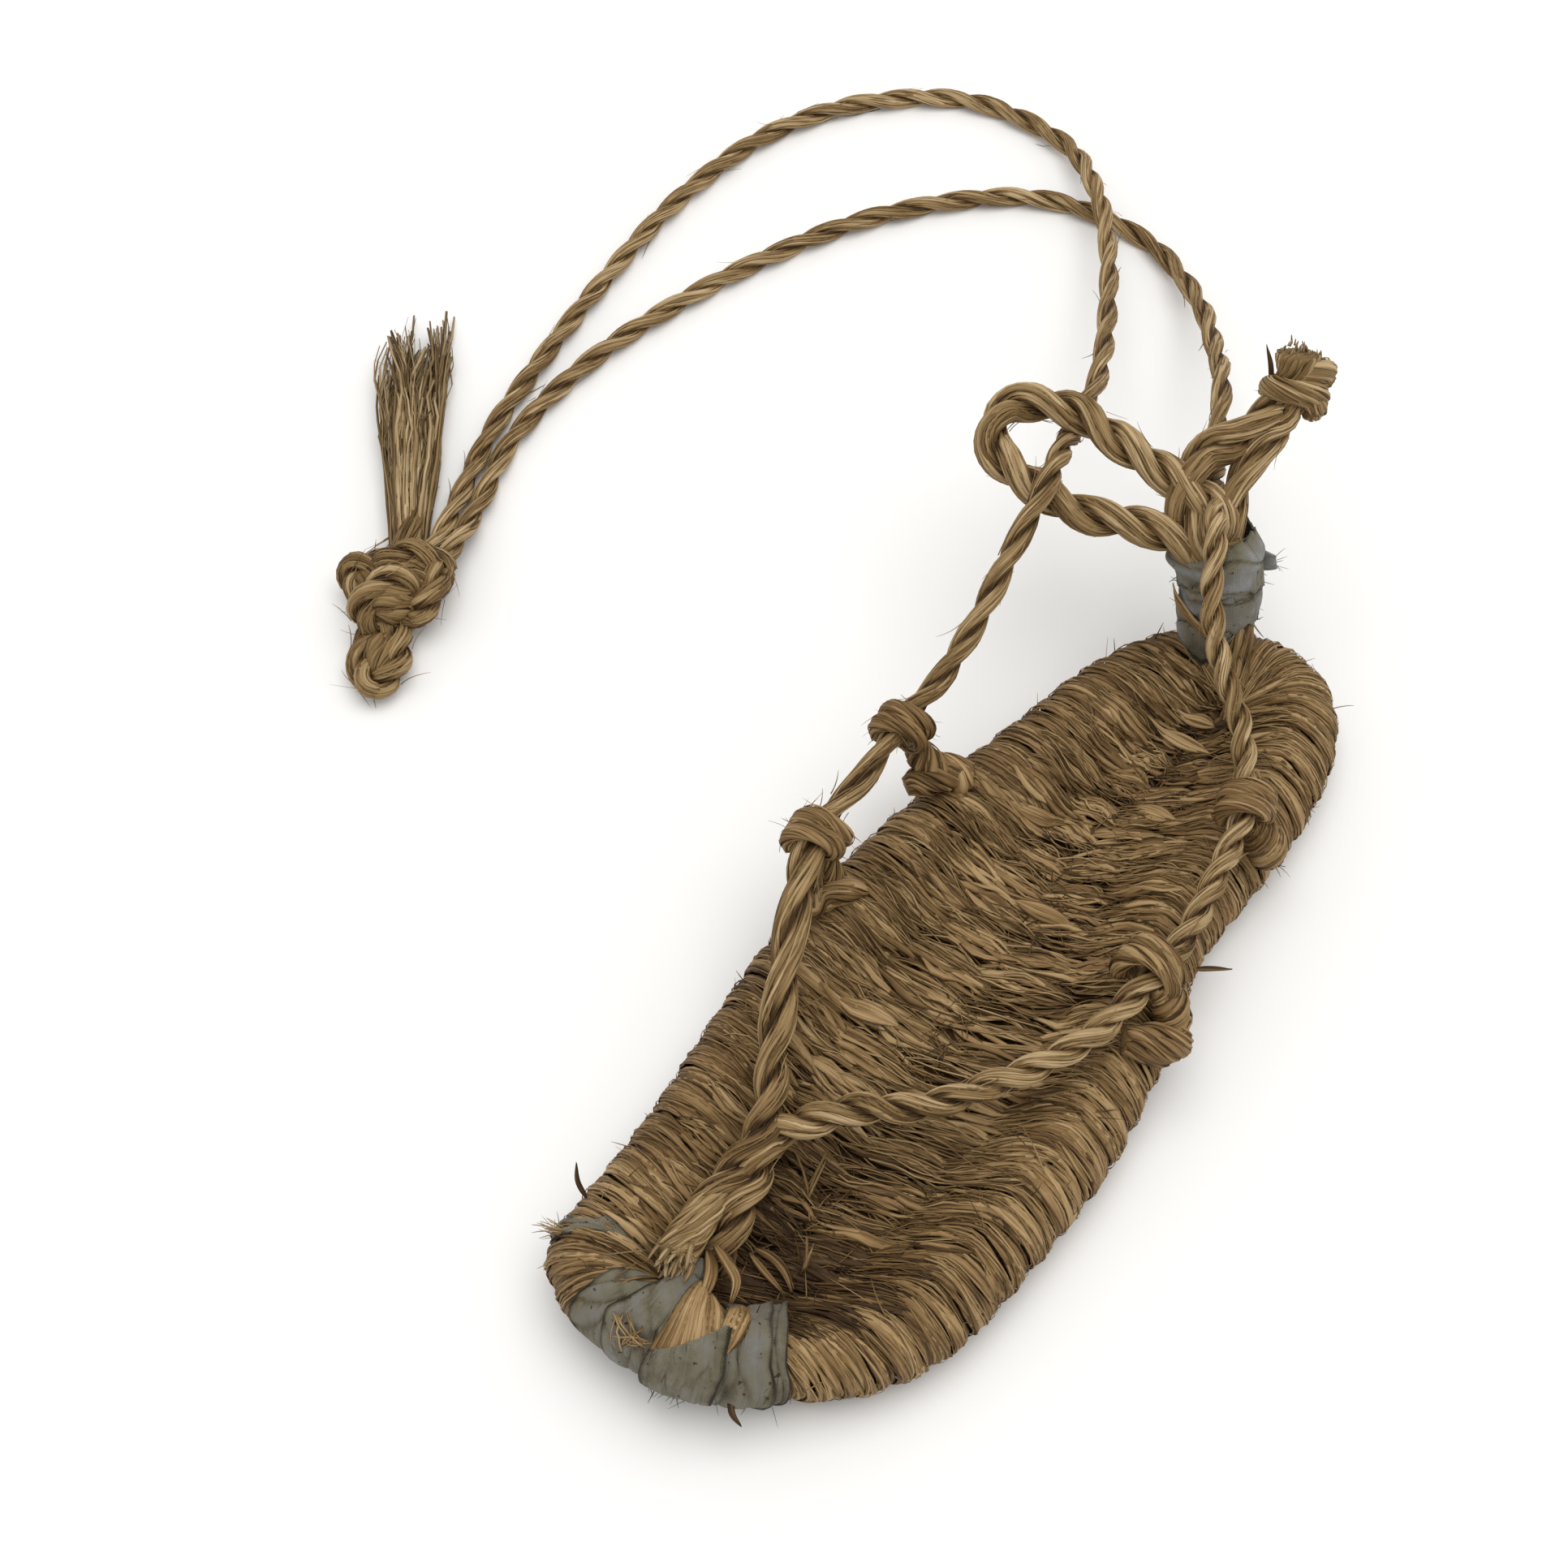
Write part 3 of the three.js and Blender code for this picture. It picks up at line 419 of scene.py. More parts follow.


# Twisted cord. Each ply is an oval body of packed fibres whose middle circles the path once for each lay;
# blades lie on it, turning slowly the other way, and sink and rise a little along their length. The lay may
# change along the path, and so may the dimming, which darkens the cord there; the gap between two plies is
# darkened with painted shade and some dirt.
def twistedCord(
        path, radius, lay, plies=2, blades=16, up=straightUp, swell=1.0, tone=(0.15, 0.8), rough=1.0,
        gapShadeAndDirt=0.6, dim=0.0):
    side, rise = sideAndRise(path, up)
    way = lengthAlong(path)
    size = radius * np.broadcast_to(swell, len(path))
    number = plies * blades
    paired = plies == 2
    ply = np.repeat(np.arange(plies), blades)
    place = np.tile(np.arange(blades), plies) + chance.uniform(-twist["scatter"], twist["scatter"], number)
    laid = np.concatenate([[0], np.cumsum(np.diff(way) / np.broadcast_to(lay, len(path))[1:])])
    turn = (fullTurn * laid)[None, :] + (fullTurn / plies) * ply[:, None]
    out, deep, wide = twist["pair" if paired else "single"]
    radial = side * np.cos(turn)[..., None] + rise * np.sin(turn)[..., None]
    swirl = rise * np.cos(turn)[..., None] - side * np.sin(turn)[..., None]
    angle = (fullTurn * place / blades)[:, None] - (twist["turnBack"] * turn if paired else 0)
    angle = angle + (twist["drift"] / blades) * wander(number, way, 24)
    bulge = size * (1 + twist["uneven"] * rough * wander(number, way, 17))
    across, along = np.cos(angle) * deep * bulge, np.sin(angle) * wide * bulge
    middle = path + radial * (out * size + across)[..., None] + swirl * along[..., None]
    outward = unit(radial * (np.cos(angle) / deep)[..., None] + swirl * (np.sin(angle) / wide)[..., None])
    cross = unit(np.cross(unit(np.gradient(middle, axis=1)), outward))
    girth = fullTurn * (deep + wide) / 2 / blades
    half = girth * size * chance.uniform(*twist["half"], (number, 1))
    half = half * np.clip(1 + 0.6 * wander(number, way, 13), 0.2, 1.6)
    ends = np.minimum(way, way[-1] - way)
    half = (half * np.clip(twist["endHalf"] + ends / twist["endRun"], 0, 1))[..., None]
    thick = (twist["thick"] * size * chance.uniform(0.6, 1.3, (number, 1)))[..., None]
    # painted shade, with some dirt, on blades where they face the other ply
    crease = gapShadeAndDirt * betweenPlies(angle) if paired else 0 * angle
    bladeTone = chance.uniform(*tone, (number, 1)) - crease - dim
    blade = closedStrands(flatTopped(middle, cross * half, outward * thick), bladeTone, flatTopSpots)
    first = np.arange(plies) * blades
    circle = fullTurn * np.arange(twist["bodySides"]) / twist["bodySides"]
    ball = np.cos(circle)[None, None, :, None] * radial[first][:, :, None] * deep
    ball = ball + np.sin(circle)[None, None, :, None] * swirl[first][:, :, None] * wide
    body = (path + radial[first] * (out * size)[:, None])[:, :, None]
    body = body + twist["body"] * ball * size[None, :, None, None]
    # the body gets the same painted shade, with some dirt, where the plies meet
    bodyTone = 0.6 * tone[0] + 0.4 * tone[1] - 0.1 - (0.8 * gapShadeAndDirt * betweenPlies(circle) if paired else 0)
    bodyTone = bodyTone - np.broadcast_to(dim, len(path))[:, None]
    return [blade, closedStrands(body, np.broadcast_to(bodyTone, body.shape[:3]))]


hairSlim = np.array([1, 1, 0.95, 0.85, 0.65, 0.3])  # a hair's width along it, as a share


# loose hairs: each leaves its root along its own way, bends off by the square of the distance, and stays
# above the ground
def looseHairs(root, way, bend, length, half, tone):
    number = len(root)
    run = np.linspace(0, 1, len(hairSlim))[None, :, None]
    reach = length[:, None, None]
    curl = unit(np.cross(way, chance.normal(size=(number, 3))))[:, None]
    curl = curl * chance.uniform(-0.35, 0.35, (number, 1, 1))
    middle = root[:, None] + unit(way)[:, None] * reach * run + (bend[:, None] + curl) * reach * run**2
    ahead = unit(np.gradient(middle, axis=1))
    side = unit(np.cross(ahead, np.array([0.3, 0.2, 1.0])))
    slim = half[:, None, None] * hairSlim[None, :, None]
    rings = ridged(middle, side * slim, np.cross(side, ahead) * slim * -0.7)
    rings[..., 2] = np.maximum(rings[..., 2], 0.15 + 0.1 * chance.random((number, 1, 1)))
    return closedStrands(rings, chance.uniform(*tone, number))


# hairs that stand off a cord: rooted on its surface, leaning along it
def cordHairs(path, radius, number, length=(3.0, 8.0)):
    pick = chance.integers(1, len(path) - 1, number)
    ahead = unit(np.gradient(path, axis=0))[pick] * chance.choice([-1, 1], number)[:, None]
    outward = unit(np.cross(ahead, chance.normal(size=(number, 3))))
    lean = chance.uniform(0.02, 0.3, number)[:, None]
    return looseHairs(
        path[pick] + outward * radius * 0.9, ahead + outward * lean,
        outward * chance.uniform(-0.1, 0.25, (number, 1)),
        chance.uniform(*length, number), chance.uniform(0.07, 0.15, number), (0.2, 0.95))


# short straws from one place towards another, for frayed and cut ends
def cutStraws(root, tip, number, spread, half, tone):
    root, tip = np.array(root, float), np.array(tip, float)
    reach = np.linalg.norm(tip - root)
    way = (tip - root) / reach + chance.normal(0, 0.13, (number, 3))
    roots = root + np.clip(chance.normal(size=(number, 3)), -1.5, 1.5) * spread
    return looseHairs(
        roots, way, 0 * way, reach * chance.uniform(0.55, 1.05, number), chance.uniform(*half, number), tone)


leafSteps, leafRidge = 14, 0.35


# flat leaves side by side along a route: soon at full width, which falls by the cube of the way to a point
def leafBlades(route, number, spread, half, tone):
    path = evenCurve(route, leafSteps)
    side = unit(np.cross(straightUp, np.gradient(path, axis=0)))
    run = np.linspace(0, 1, leafSteps)[None, :, None]
    place = chance.uniform(-spread, spread, (number, 1, 1)) * np.ones_like(run)
    middle = path + side * place * np.sin(math.pi * (0.15 + 0.7 * run))
    middle = middle + straightUp * chance.uniform(0, 0.6, (number, 1, 1))
    broad = side * chance.uniform(*half, (number, 1, 1))
    broad = broad * np.clip(1.02 - run**3, 0, 1) * np.clip(0.4 + 3 * run, 0, 1)
    return closedStrands(ridged(middle, -broad, straightUp * leafRidge), chance.uniform(*tone, number))


hairParts = []

# the two free ties come first, because they are the longest things in view
ties = {"radius": 2.9, "step": 2.0, "hairs": 50, "tone": (0.2, 0.85)}
tieLays = [(0, 42), (90, 40), (140, 28)]  # lay at some ways from the heel
leftTieRoute = [
    (-70.62, 131.32, 48.9), (-76, 147, 42), (-97, 186, 25), (-117, 216.5, 15.5), (-133.2, 235, 11.8),
    (-157, 253, 4.5), (-190, 252, 3.0), (-215, 231.7, 3.0), (-230, 202, 3.0), (-233.5, 163.5, 3.0),
    (-229, 123.5, 3.0), (-221.5, 84, 3.0), (-215.5, 60, 3.0), (-205.5, 36, 4), (-198.5, 21, 6.5),
    (-195, 12.5, 9)]
rightTieRoute = [
    (-39.17, 147.31, 46.92), (-52, 171, 39), (-66, 192, 26), (-81.5, 212.2, 14.5), (-97, 226.3, 6.8),
    (-112, 234.8, 3.0), (-134.4, 235, 3.0), (-154.4, 227, 3.0), (-181.4, 196.3, 3.0), (-199, 156.5, 3.0),
    (-210, 110, 3.0), (-211.5, 84.5, 3.0), (-208.6, 60, 3.0), (-199, 36, 4.2), (-192.8, 21, 8),
    (-190, 10.5, 10)]
for tieName, tieRoute, tieNode in (
        ("tieLeft", leftTieRoute, "tie_cord_left"), ("tieRight", rightTieRoute, "tie_cord_right")):
    tiePath = pathBySteps(tieRoute, ties["step"])
    tieLay = atWays(tieLays, lengthAlong(tiePath))
    tieParts = twistedCord(tiePath, ties["radius"], tieLay, tone=ties["tone"])
    addPiece(tieName, tieParts, strawCord, [tieNode])
    hairParts.append(cordHairs(tiePath, ties["radius"], ties["hairs"]))

# knot that gathers both ties: oval turns of doubled cord, each round a packed middle
knot = {
    "rope": 4.0, "lay": 19.0, "step": 1.3, "overlap": 1.04, "lowest": 4.3, "fillLay": 60.0, "fillSteps": 9}
knotTurns = [  # middle x, y, z, half length, half width, turn and tilt in degrees
    (-200.5, -1.5, 8, 7.5, 5, 20, 35),
    (-188.6, 3, 8.5, 7.5, 5, -60, 30),
    (-191.5, -5, 10, 8.5, 6, 70, 60),
    (-184.5, -17.5, 5, 9.5, 5, -55, 5),
    (-194.5, 6.2, 9, 8, 5.5, 40, 60)]
knotParts = []
for x, y, z, longHalf, wideHalf, turned, tilted in knotTurns:
    turnSteps = int(fullTurn * (longHalf + wideHalf) / 2 / knot["step"])
    angle = np.linspace(0, fullTurn * knot["overlap"], turnSteps)
    spin, lean = math.radians(turned), math.radians(tilted)
    longWay = np.array([math.cos(spin), math.sin(spin), 0])
    wideWay = np.array([-math.sin(spin) * math.cos(lean), math.cos(spin) * math.cos(lean), math.sin(lean)])
    knotUp = np.cross(longWay, wideWay)
    knotMiddle = np.array([x, y, z])
    knotPath = knotMiddle + np.outer(np.cos(angle) * longHalf, longWay)
    knotPath = knotPath + np.outer(np.sin(angle) * wideHalf, wideWay)
    knotPath[:, 2] = np.maximum(knotPath[:, 2], knot["lowest"])
    knotParts += twistedCord(
        knotPath, knot["rope"], knot["lay"], blades=11, up=knotUp, tone=(0.1, 0.75), rough=1.5)
    fillPath = knotMiddle + np.linspace(-0.75, 0.75, knot["fillSteps"])[:, None] * longHalf * longWay
    fillSwell = np.sqrt(1 - np.linspace(-0.98, 0.98, knot["fillSteps"]) ** 2)
    knotParts += twistedCord(
        fillPath, min(wideHalf, z - 0.4), knot["fillLay"], plies=1, blades=12, up=knotUp, swell=fillSwell,
        tone=(0, 0.5))
    hairParts.append(cordHairs(knotPath, knot["rope"], 16, (4.0, 9.0)))
knotPiece = addPiece("tieKnot", knotParts, strawCord, ["tie_knot"])

# tassel: a short twisted neck, then locks of fibre side by side that sway a little and fan out flat on the
# ground to a ragged edge
tassel = {
    "base": (-200.2, 9.7), "way": (-0.674, 0.739), "locks": 13, "fibres": 36, "steps": 12, "long": 88,
    "lockLong": (72, 94), "cut": (0.62, 1.04), "longest": 93, "half": (0.2, 1.1), "ground": 0.35,
    "neckHeight": 5.4, "neckEnds": (-2, 27), "neckSteps": 22, "neckLay": 36.0, "strays": 40}
tasselStations = np.array([  # along, half width, half thickness
    (0, 3.6, 4.6), (12, 4.2, 4.6), (26, 5.6, 4.8), (48, 7.4, 4.8), (70, 9.4, 4.4), (92, 11.4, 3.8)])
tasselBase = np.array([*tassel["base"], 0])
forward = np.array([*tassel["way"], 0])
sideways = np.array([-tassel["way"][1], tassel["way"][0], 0])
fibres = tassel["locks"] * tassel["fibres"]
lockOf = np.repeat(np.arange(tassel["locks"]), tassel["fibres"])
run = np.linspace(0, 1, tassel["steps"])[None, :]
fibreWay = run[0] * tassel["long"]
lockReach = chance.uniform(*tassel["lockLong"], tassel["locks"])[lockOf][:, None]
reach = np.minimum(lockReach * chance.uniform(*tassel["cut"], (fibres, 1)), tassel["longest"]) * run
lockAngle = fullTurn * (np.arange(tassel["locks"]) * 0.382 % 1)  # the golden turn spreads the locks evenly
lockRing = np.sqrt((np.arange(tassel["locks"]) + 0.6) / tassel["locks"])
lockAcross, lockRise = [
    (lockRing * spread)[lockOf][:, None] for spread in (np.cos(lockAngle), np.sin(lockAngle))]
sway = wander(tassel["locks"], fibreWay, 46)[lockOf] * 0.16 + 0.12 * wander(fibres, fibreWay, 30)
spill = chance.normal(0, 0.2, (fibres, 1)) * (0.9 - 0.35 * run)
halfWide, halfThick = [
    np.interp(reach, tasselStations[:, 0], tasselStations[:, column]) for column in (1, 2)]
across = (1.02 * lockAcross + sway * run + spill) * halfWide
rise = 0.8 * lockRise + chance.normal(0, 0.25, (fibres, 1)) + 0.16 * wander(fibres, fibreWay, 30)
deep = halfThick * 0.92
height = tassel["ground"] + deep * (1 + np.clip(rise, -1, 1)) + 0.15
middle = tasselBase + reach[..., None] * forward + across[..., None] * sideways
middle = middle + height[..., None] * straightUp
half = chance.uniform(*tassel["half"], (fibres, 1, 1)) * (1 - 0.6 * run[..., None] ** 3)
flat = unit(np.stack([chance.normal(size=fibres), chance.normal(size=fibres) * 0.5], axis=1))
fibreSide = flat[:, None, :1] * sideways + flat[:, None, 1:] * straightUp
rings = ridged(middle, fibreSide * half, np.cross(fibreSide, forward) * half * -0.4)
rings[..., 2] = np.maximum(rings[..., 2], 0.2)
fibreTone = chance.uniform(0.0, 1.0, fibres) + chance.uniform(-0.1, 0.15, tassel["locks"])[lockOf]
tasselPath = np.array([*tassel["base"], tassel["neckHeight"]]) + np.linspace(
    *tassel["neckEnds"], tassel["neckSteps"])[:, None] * forward
tasselSwell = atWays([(0, 4.6), (0.3, 5.2), (1, 3.4)], np.linspace(0, 1, tassel["neckSteps"]))
tasselNeck = twistedCord(tasselPath, 1.0, tassel["neckLay"], swell=tasselSwell, tone=(0.0, 0.75), rough=1.8)
tasselParts = [closedStrands(rings, fibreTone), *tasselNeck]
tasselPiece = addPiece("tieTassel", tasselParts, strawCord, ["tassel"])
strayShape = (tassel["strays"], 1)
strayRoot = tasselBase + chance.uniform(14, 72, strayShape) * forward + np.array([0, 0, 5])
strayWay = forward + sideways * chance.uniform(-0.7, 0.7, strayShape) + np.array([0, 0, 0.1])
strayDrop = np.array([0, 0, -0.3]) * np.ones(strayShape)
hairParts.append(looseHairs(
    strayRoot, strayWay, strayDrop, chance.uniform(8, 20, tassel["strays"]),
    chance.uniform(0.08, 0.18, tassel["strays"]), (0.0, 0.7)))

print("ties, knot and tassel laid")

# straps: one cord runs from the thong to the right side, the other to the left side from a thick pale cut
# tail; both run on a little into the ties
# the straps' gap darkening is painted shade, with some dirt, between the plies
straps = {
    "radius": 3.4, "step": 1.85, "hairs": 60, "tone": (0.12, 0.85), "gapShadeAndDirt": 0.75, "toeDim": 0.3,
    "toeRun": 55.0, "tailLay": 62.0, "tailStraws": 46, "tailLong": (4, 7.5), "tailHalf": (0.3, 0.8)}
tailRoute = [(-14, -84, 21.5), (-13.2, -92, 21.6), (-11.8, -99.5, 22.2), (-10.8, -105.5, 24)]
thongRoute = [(-6.5, -97.2, 11), (-7.2, -91, 17.5), (-9.8, -79, 20.5)]
leftRoute = [
    (-13.4, -91, 21), (-14, -85, 21.5), (-14, -78, 22.5), (-15.2, -67, 26.4), (-24, -54, 28), (-32, -40, 33),
    (-40, -26, 36.5), (-48.4, -7.3, 38), (-49.6, 13, 38), (-51.4, 32, 40), (-50.8, 44, 42), (-52.6, 62, 47),
    (-55, 79, 56), (-57.2, 95, 64), (-62.6, 110, 59), (-67, 121.5, 52.5), (-70.5, 131, 49),
    (-71.4, 133.6, 47.8)]
rightRoute = [
    (-12.4, -69, 22.6), (-7, -61.5, 25.6), (1, -52, 27), (10.6, -44.6, 28), (24.3, -23.4, 30), (31, -8, 31.5),
    (33, 10, 31.5), (33, 27, 30), (29.6, 45, 29.5), (24, 66.3, 30.5), (12.2, 82, 35), (2.8, 88.6, 40),
    (-4.8, 94.6, 44), (-11.2, 100.8, 51), (-17, 109.4, 60), (-24.3, 120.7, 56.5), (-31.5, 133, 51),
    (-39, 147, 47), (-40.4, 149.6, 46.2)]
strapRuns = [  # name, route, then its thickness and its lay at some ways from the toe end in mm
    ("left", leftRoute, [(0, 1.3), (30, 1.2), (45, 1.3), (85, 1.25), (105, 0.95), (240, 0.88)],
        [(0, 22), (30, 22), (55, 42), (115, 42), (140, 28)]),
    ("right", thongRoute + rightRoute,
        [(0, 1.4), (22, 1.35), (45, 1.2), (70, 1.05), (180, 0.93), (290, 0.86)],
        [(0, 22), (40, 20), (170, 20), (210, 17)])]
strapParts = []
strapPaths = {}
for strapName, strapRoute, thickness, lays in strapRuns:
    strapPath = pathBySteps(strapRoute, straps["step"])
    strapPaths[strapName] = strapPath
    strapWay = lengthAlong(strapPath)
    # the cords are darker towards the toe end
    strapDim = straps["toeDim"] * (1 - easeStep(strapWay / straps["toeRun"]))
    strapParts += twistedCord(
        strapPath, straps["radius"], atWays(lays, strapWay), swell=atWays(thickness, strapWay),
        tone=straps["tone"], rough=1.5, gapShadeAndDirt=straps["gapShadeAndDirt"], dim=strapDim)
    hairParts.append(cordHairs(strapPath, straps["radius"], straps["hairs"]))
tailPath = pathBySteps(tailRoute, 1.0)
tailSwell = atWays([(0, 2.6), (0.35, 4.0), (0.75, 4.5), (1, 4.2)], np.linspace(0, 1, len(tailPath)))
strapParts += twistedCord(
    tailPath, 1.0, straps["tailLay"], plies=1, blades=26, swell=tailSwell, tone=(0.35, 0.95), rough=1.8)
tailShape = (straps["tailStraws"], 3)
tailEnds = tailPath[-1] + chance.normal(0, 2.2, tailShape) * np.array([1, 0.5, 0.8]) + np.array([0, 2.5, 0])
tailWay = np.array([0.12, -0.9, 0.12]) + chance.normal(0, 0.2, tailShape)
strapParts.append(looseHairs(
    tailEnds, tailWay, 0 * tailWay, chance.uniform(*straps["tailLong"], straps["tailStraws"]),
    chance.uniform(*straps["tailHalf"], straps["tailStraws"]), (0.3, 1.0)))
addPiece("upperStraps", strapParts, strawCord, ["upper_straps"])
print("straps laid")

# heel: the neck of warp ends, two rings of thick cord, and a knob knot with a cut brush end
heel = {
    "neck": 9.2, "neckLay": 160.0, "ring": 4.6, "ringTone": (0.2, 0.92), "step": 1.75, "hairs": 40,
    "brushLay": 60.0, "knobRope": 3.0, "knobLay": 40.0, "knobTurn": 1.03, "knobSteps": 34, "knobPitch": 0.25}
neckRoute = [(-10, 111, 12), (-14.8, 114.4, 32), (-19.2, 116.8, 51)]
leftRingRoute = [
    (-18.6, 118.4, 47), (-20.4, 119.4, 52.6), (-25.6, 119.6, 57), (-33, 119, 58.4), (-42, 119, 60),
    (-51.5, 119, 61), (-69, 119, 62), (-80.4, 111.4, 61), (-77, 100.4, 58.8), (-65, 97.6, 57),
    (-49.2, 98.6, 55.5), (-35, 105.8, 53.5), (-24, 111, 49), (-18.4, 114.5, 43)]
rightRingRoute = [
    (-18, 113.5, 42), (-23, 111, 49), (-28.6, 114.8, 54.8), (-32.2, 122, 59.6), (-32.4, 128, 63),
    (-28, 133.6, 66), (-23.4, 146, 71), (-21.2, 143.2, 67.6), (-22.4, 136, 64), (-22.3, 128.4, 59.2),
    (-20.2, 122.2, 54), (-17, 117, 43)]
heelRings = [  # route, thickness at the first and the last end, lay
    (leftRingRoute, 1.1, 1.1, 28.0),
    (rightRingRoute, 1.15, 0.95, 36.0)]
brushRoute = [(-22.4, 145.5, 69.6), (-23.4, 151, 73), (-25.8, 154.6, 80.2)]
brushLeaf = [(-28.6, 148.4, 73.5), (-30.4, 149.6, 77.5), (-33.2, 151.2, 81)]
knobWraps = [  # middle, axis, radius
    ((-23.2, 150.6, 71.8), (-0.25, 0.62, 0.74), 5.8),
    ((-22.0, 153.0, 70.6), (0.35, 0.75, 0.55), 5.2),
    ((-22.6, 155.4, 73.6), (-0.6, 0.5, 0.62), 4.6)]
neckPath = pathBySteps(neckRoute, 2.0)
neckSwell = 1 - 0.45 * easeStep(np.linspace(-4, 1, len(neckPath)))
heelParts = twistedCord(
    neckPath, heel["neck"], heel["neckLay"], plies=1, blades=34, up=(0, 1, 0), swell=neckSwell,
    tone=(0, 0.65))
for ringRoute, thickFirst, thickLast, ringLay in heelRings:
    ringPath = pathBySteps(ringRoute, heel["step"])
    ringSwell = thickFirst + (thickLast - thickFirst) * easeStep(np.linspace(-1, 2, len(ringPath)))
    heelParts += twistedCord(
        ringPath, heel["ring"], ringLay, blades=20, swell=ringSwell, tone=heel["ringTone"], rough=1.3)
    hairParts.append(cordHairs(ringPath, heel["ring"], heel["hairs"]))
brushPath = pathBySteps(brushRoute, 1.0)
brushSwell = atWays([(0, 4.2), (0.5, 4.6), (1, 5.4)], np.linspace(0, 1, len(brushPath)))
heelParts += twistedCord(
    brushPath, 1.0, heel["brushLay"], plies=1, blades=26, swell=brushSwell, tone=(0.1, 0.8), rough=1.6)
heelParts.append(cutStraws(
    (-25.2, 153.8, 79.2), (-25.8, 154.7, 81.4), 80, (2.8, 2.4, 0.3), (0.25, 0.55), (0.2, 0.9)))
heelParts.append(leafBlades(brushLeaf, 3, 0.3, (0.5, 0.8), (-0.35, 0.0)))
for wrapMiddle, wrapWay, wrapRadius in knobWraps:
    wrapAxis = unit(np.array(wrapWay))
    firstWay = unit(np.cross(wrapAxis, (0, 0, 1)))
    lastWay = np.cross(wrapAxis, firstWay)
    angle = np.linspace(0, fullTurn * heel["knobTurn"], heel["knobSteps"])
    wrapRound = np.outer(np.cos(angle), firstWay) + np.outer(np.sin(angle), lastWay)
    wrapRise = np.outer(angle - 3, wrapAxis) * heel["knobPitch"]
    wrapPath = np.array(wrapMiddle) + wrapRadius * wrapRound + wrapRise
    heelParts += twistedCord(
        wrapPath, heel["knobRope"], heel["knobLay"], plies=1, blades=18, up=wrapAxis, tone=(0.15, 0.88),
        rough=2.2)
    hairParts.append(cordHairs(wrapPath, heel["knobRope"], 7, (2.0, 4.5)))
addPiece("heelRings", heelParts, strawCord, ["heel_rings"])
print("heel rings laid")

# the sole's skin as a function of share (toe 0 to heel 1) and lie (0 on the middle line, 1 the footbed's
# edge, 2 the crown of the rim, 3 its outer side, 4 the ground, 5 the middle of the underside; minus on the
# left)
sole = {
    "rim": 10.5, "sink": 0.9, "toeSpring": 4.0, "toeStart": -92.0, "toeRun": 39.0, "arch": 1.6,
    "archMiddle": 12.0, "archHalf": 34.0, "middleFirst": 0.145, "middleLast": 0.865, "hubIn": 1.25,
    "hubHigh": 0.9, "shares": 601, "lies": 401, "coreShares": 121, "coreLies": 101, "coreSunk": 1.5}
leftOutline = [
    (-10, -126), (-26, -125.4), (-36.5, -118), (-39.5, -101), (-41, -79), (-45.4, -51), (-48.7, -22),
    (-47, 11), (-44.4, 36), (-39.8, 63), (-35.2, 89.4), (-26.6, 108.6), (-12.8, 121.2), (2, 126.2)]
rightOutline = [
    (-10, -126), (5.4, -123.2), (22.7, -112.4), (37.5, -98.6), (46.3, -80.6), (48.7, -51), (48.4, -22),
    (42.1, 10.9), (34.8, 36), (34, 64), (32.5, 88.8), (26.9, 108.9), (16.9, 121.9), (2, 126.2)]
rimRows = np.array([  # lie, inset from the edge and height in rim radii
    (1.0, 2.6, 1.12), (1.33, 2.1, 1.42), (1.67, 1.6, 1.8), (2.0, 1.1, 2.0), (2.33, 0.62, 1.88),
    (2.67, 0.22, 1.52), (3.0, 0, 0.95), (3.5, 0.2, 0.4), (4.0, 0.72, 0), (4.5, 2.2, 0)])


# how far the sole stands off the ground: the toe's spring, and a low arch under the waist
def groundLift(y):
    toe = sole["toeSpring"] * easeStep((sole["toeStart"] - y) / sole["toeRun"])
    return toe + sole["arch"] * easeStep(1 - np.abs(y - sole["archMiddle"]) / sole["archHalf"])


# half of the skin, with the hub that its outside faces away from: inset and height across follow the rim's
# profile, then fall evenly to the middle line
def skinHalf(edge, middle, lie):
    profile = denseCurve(rimRows[:, 1:])
    profileLie = np.interp(np.arange(len(profile)) / spanPoints, np.arange(len(rimRows)), rimRows[:, 0])
    reach = np.linalg.norm(middle - edge, axis=1)[:, None]
    inward = unit(middle - edge)
    inset = sole["rim"] * np.interp(lie, profileLie, profile[:, 0])[None, :] * np.ones_like(reach)
    height = np.maximum(np.interp(lie, profileLie, profile[:, 1]), 0)[None, :]
    height = sole["rim"] * height * np.ones_like(reach)
    over = np.clip(1 - lie, 0, 1)[None, :]
    under = np.clip((lie - rimRows[-1, 0]) * 2, 0, 1)[None, :]
    inset = inset + (reach - sole["rim"] * rimRows[0, 1]) * over
    inset = inset + (reach - sole["rim"] * rimRows[-1, 1]) * under
    height = height - sole["sink"] * over
    place = edge[:, None] + inward[:, None] * inset[..., None]
    base = groundLift(edge[:, 1])[:, None] * (1 - over) + groundLift(middle[:, 1])[:, None] * over
    base = np.where(lie[None, :] >= 4, groundLift(place[..., 1]), base)
    skin = np.concatenate([place, (base + height)[..., None]], axis=2)
    hubPlace = np.broadcast_to(edge[:, None] + inward[:, None] * (sole["hubIn"] * sole["rim"]), place.shape)
    hub = np.concatenate([hubPlace, np.full((*inset.shape, 1), sole["hubHigh"] * sole["rim"])], axis=2)
    hub = np.where((lie <= 1.05)[None, :, None], skin - straightUp, hub)
    hub = np.where((lie >= 4.1)[None, :, None], skin + straightUp, hub)
    return skin, hub


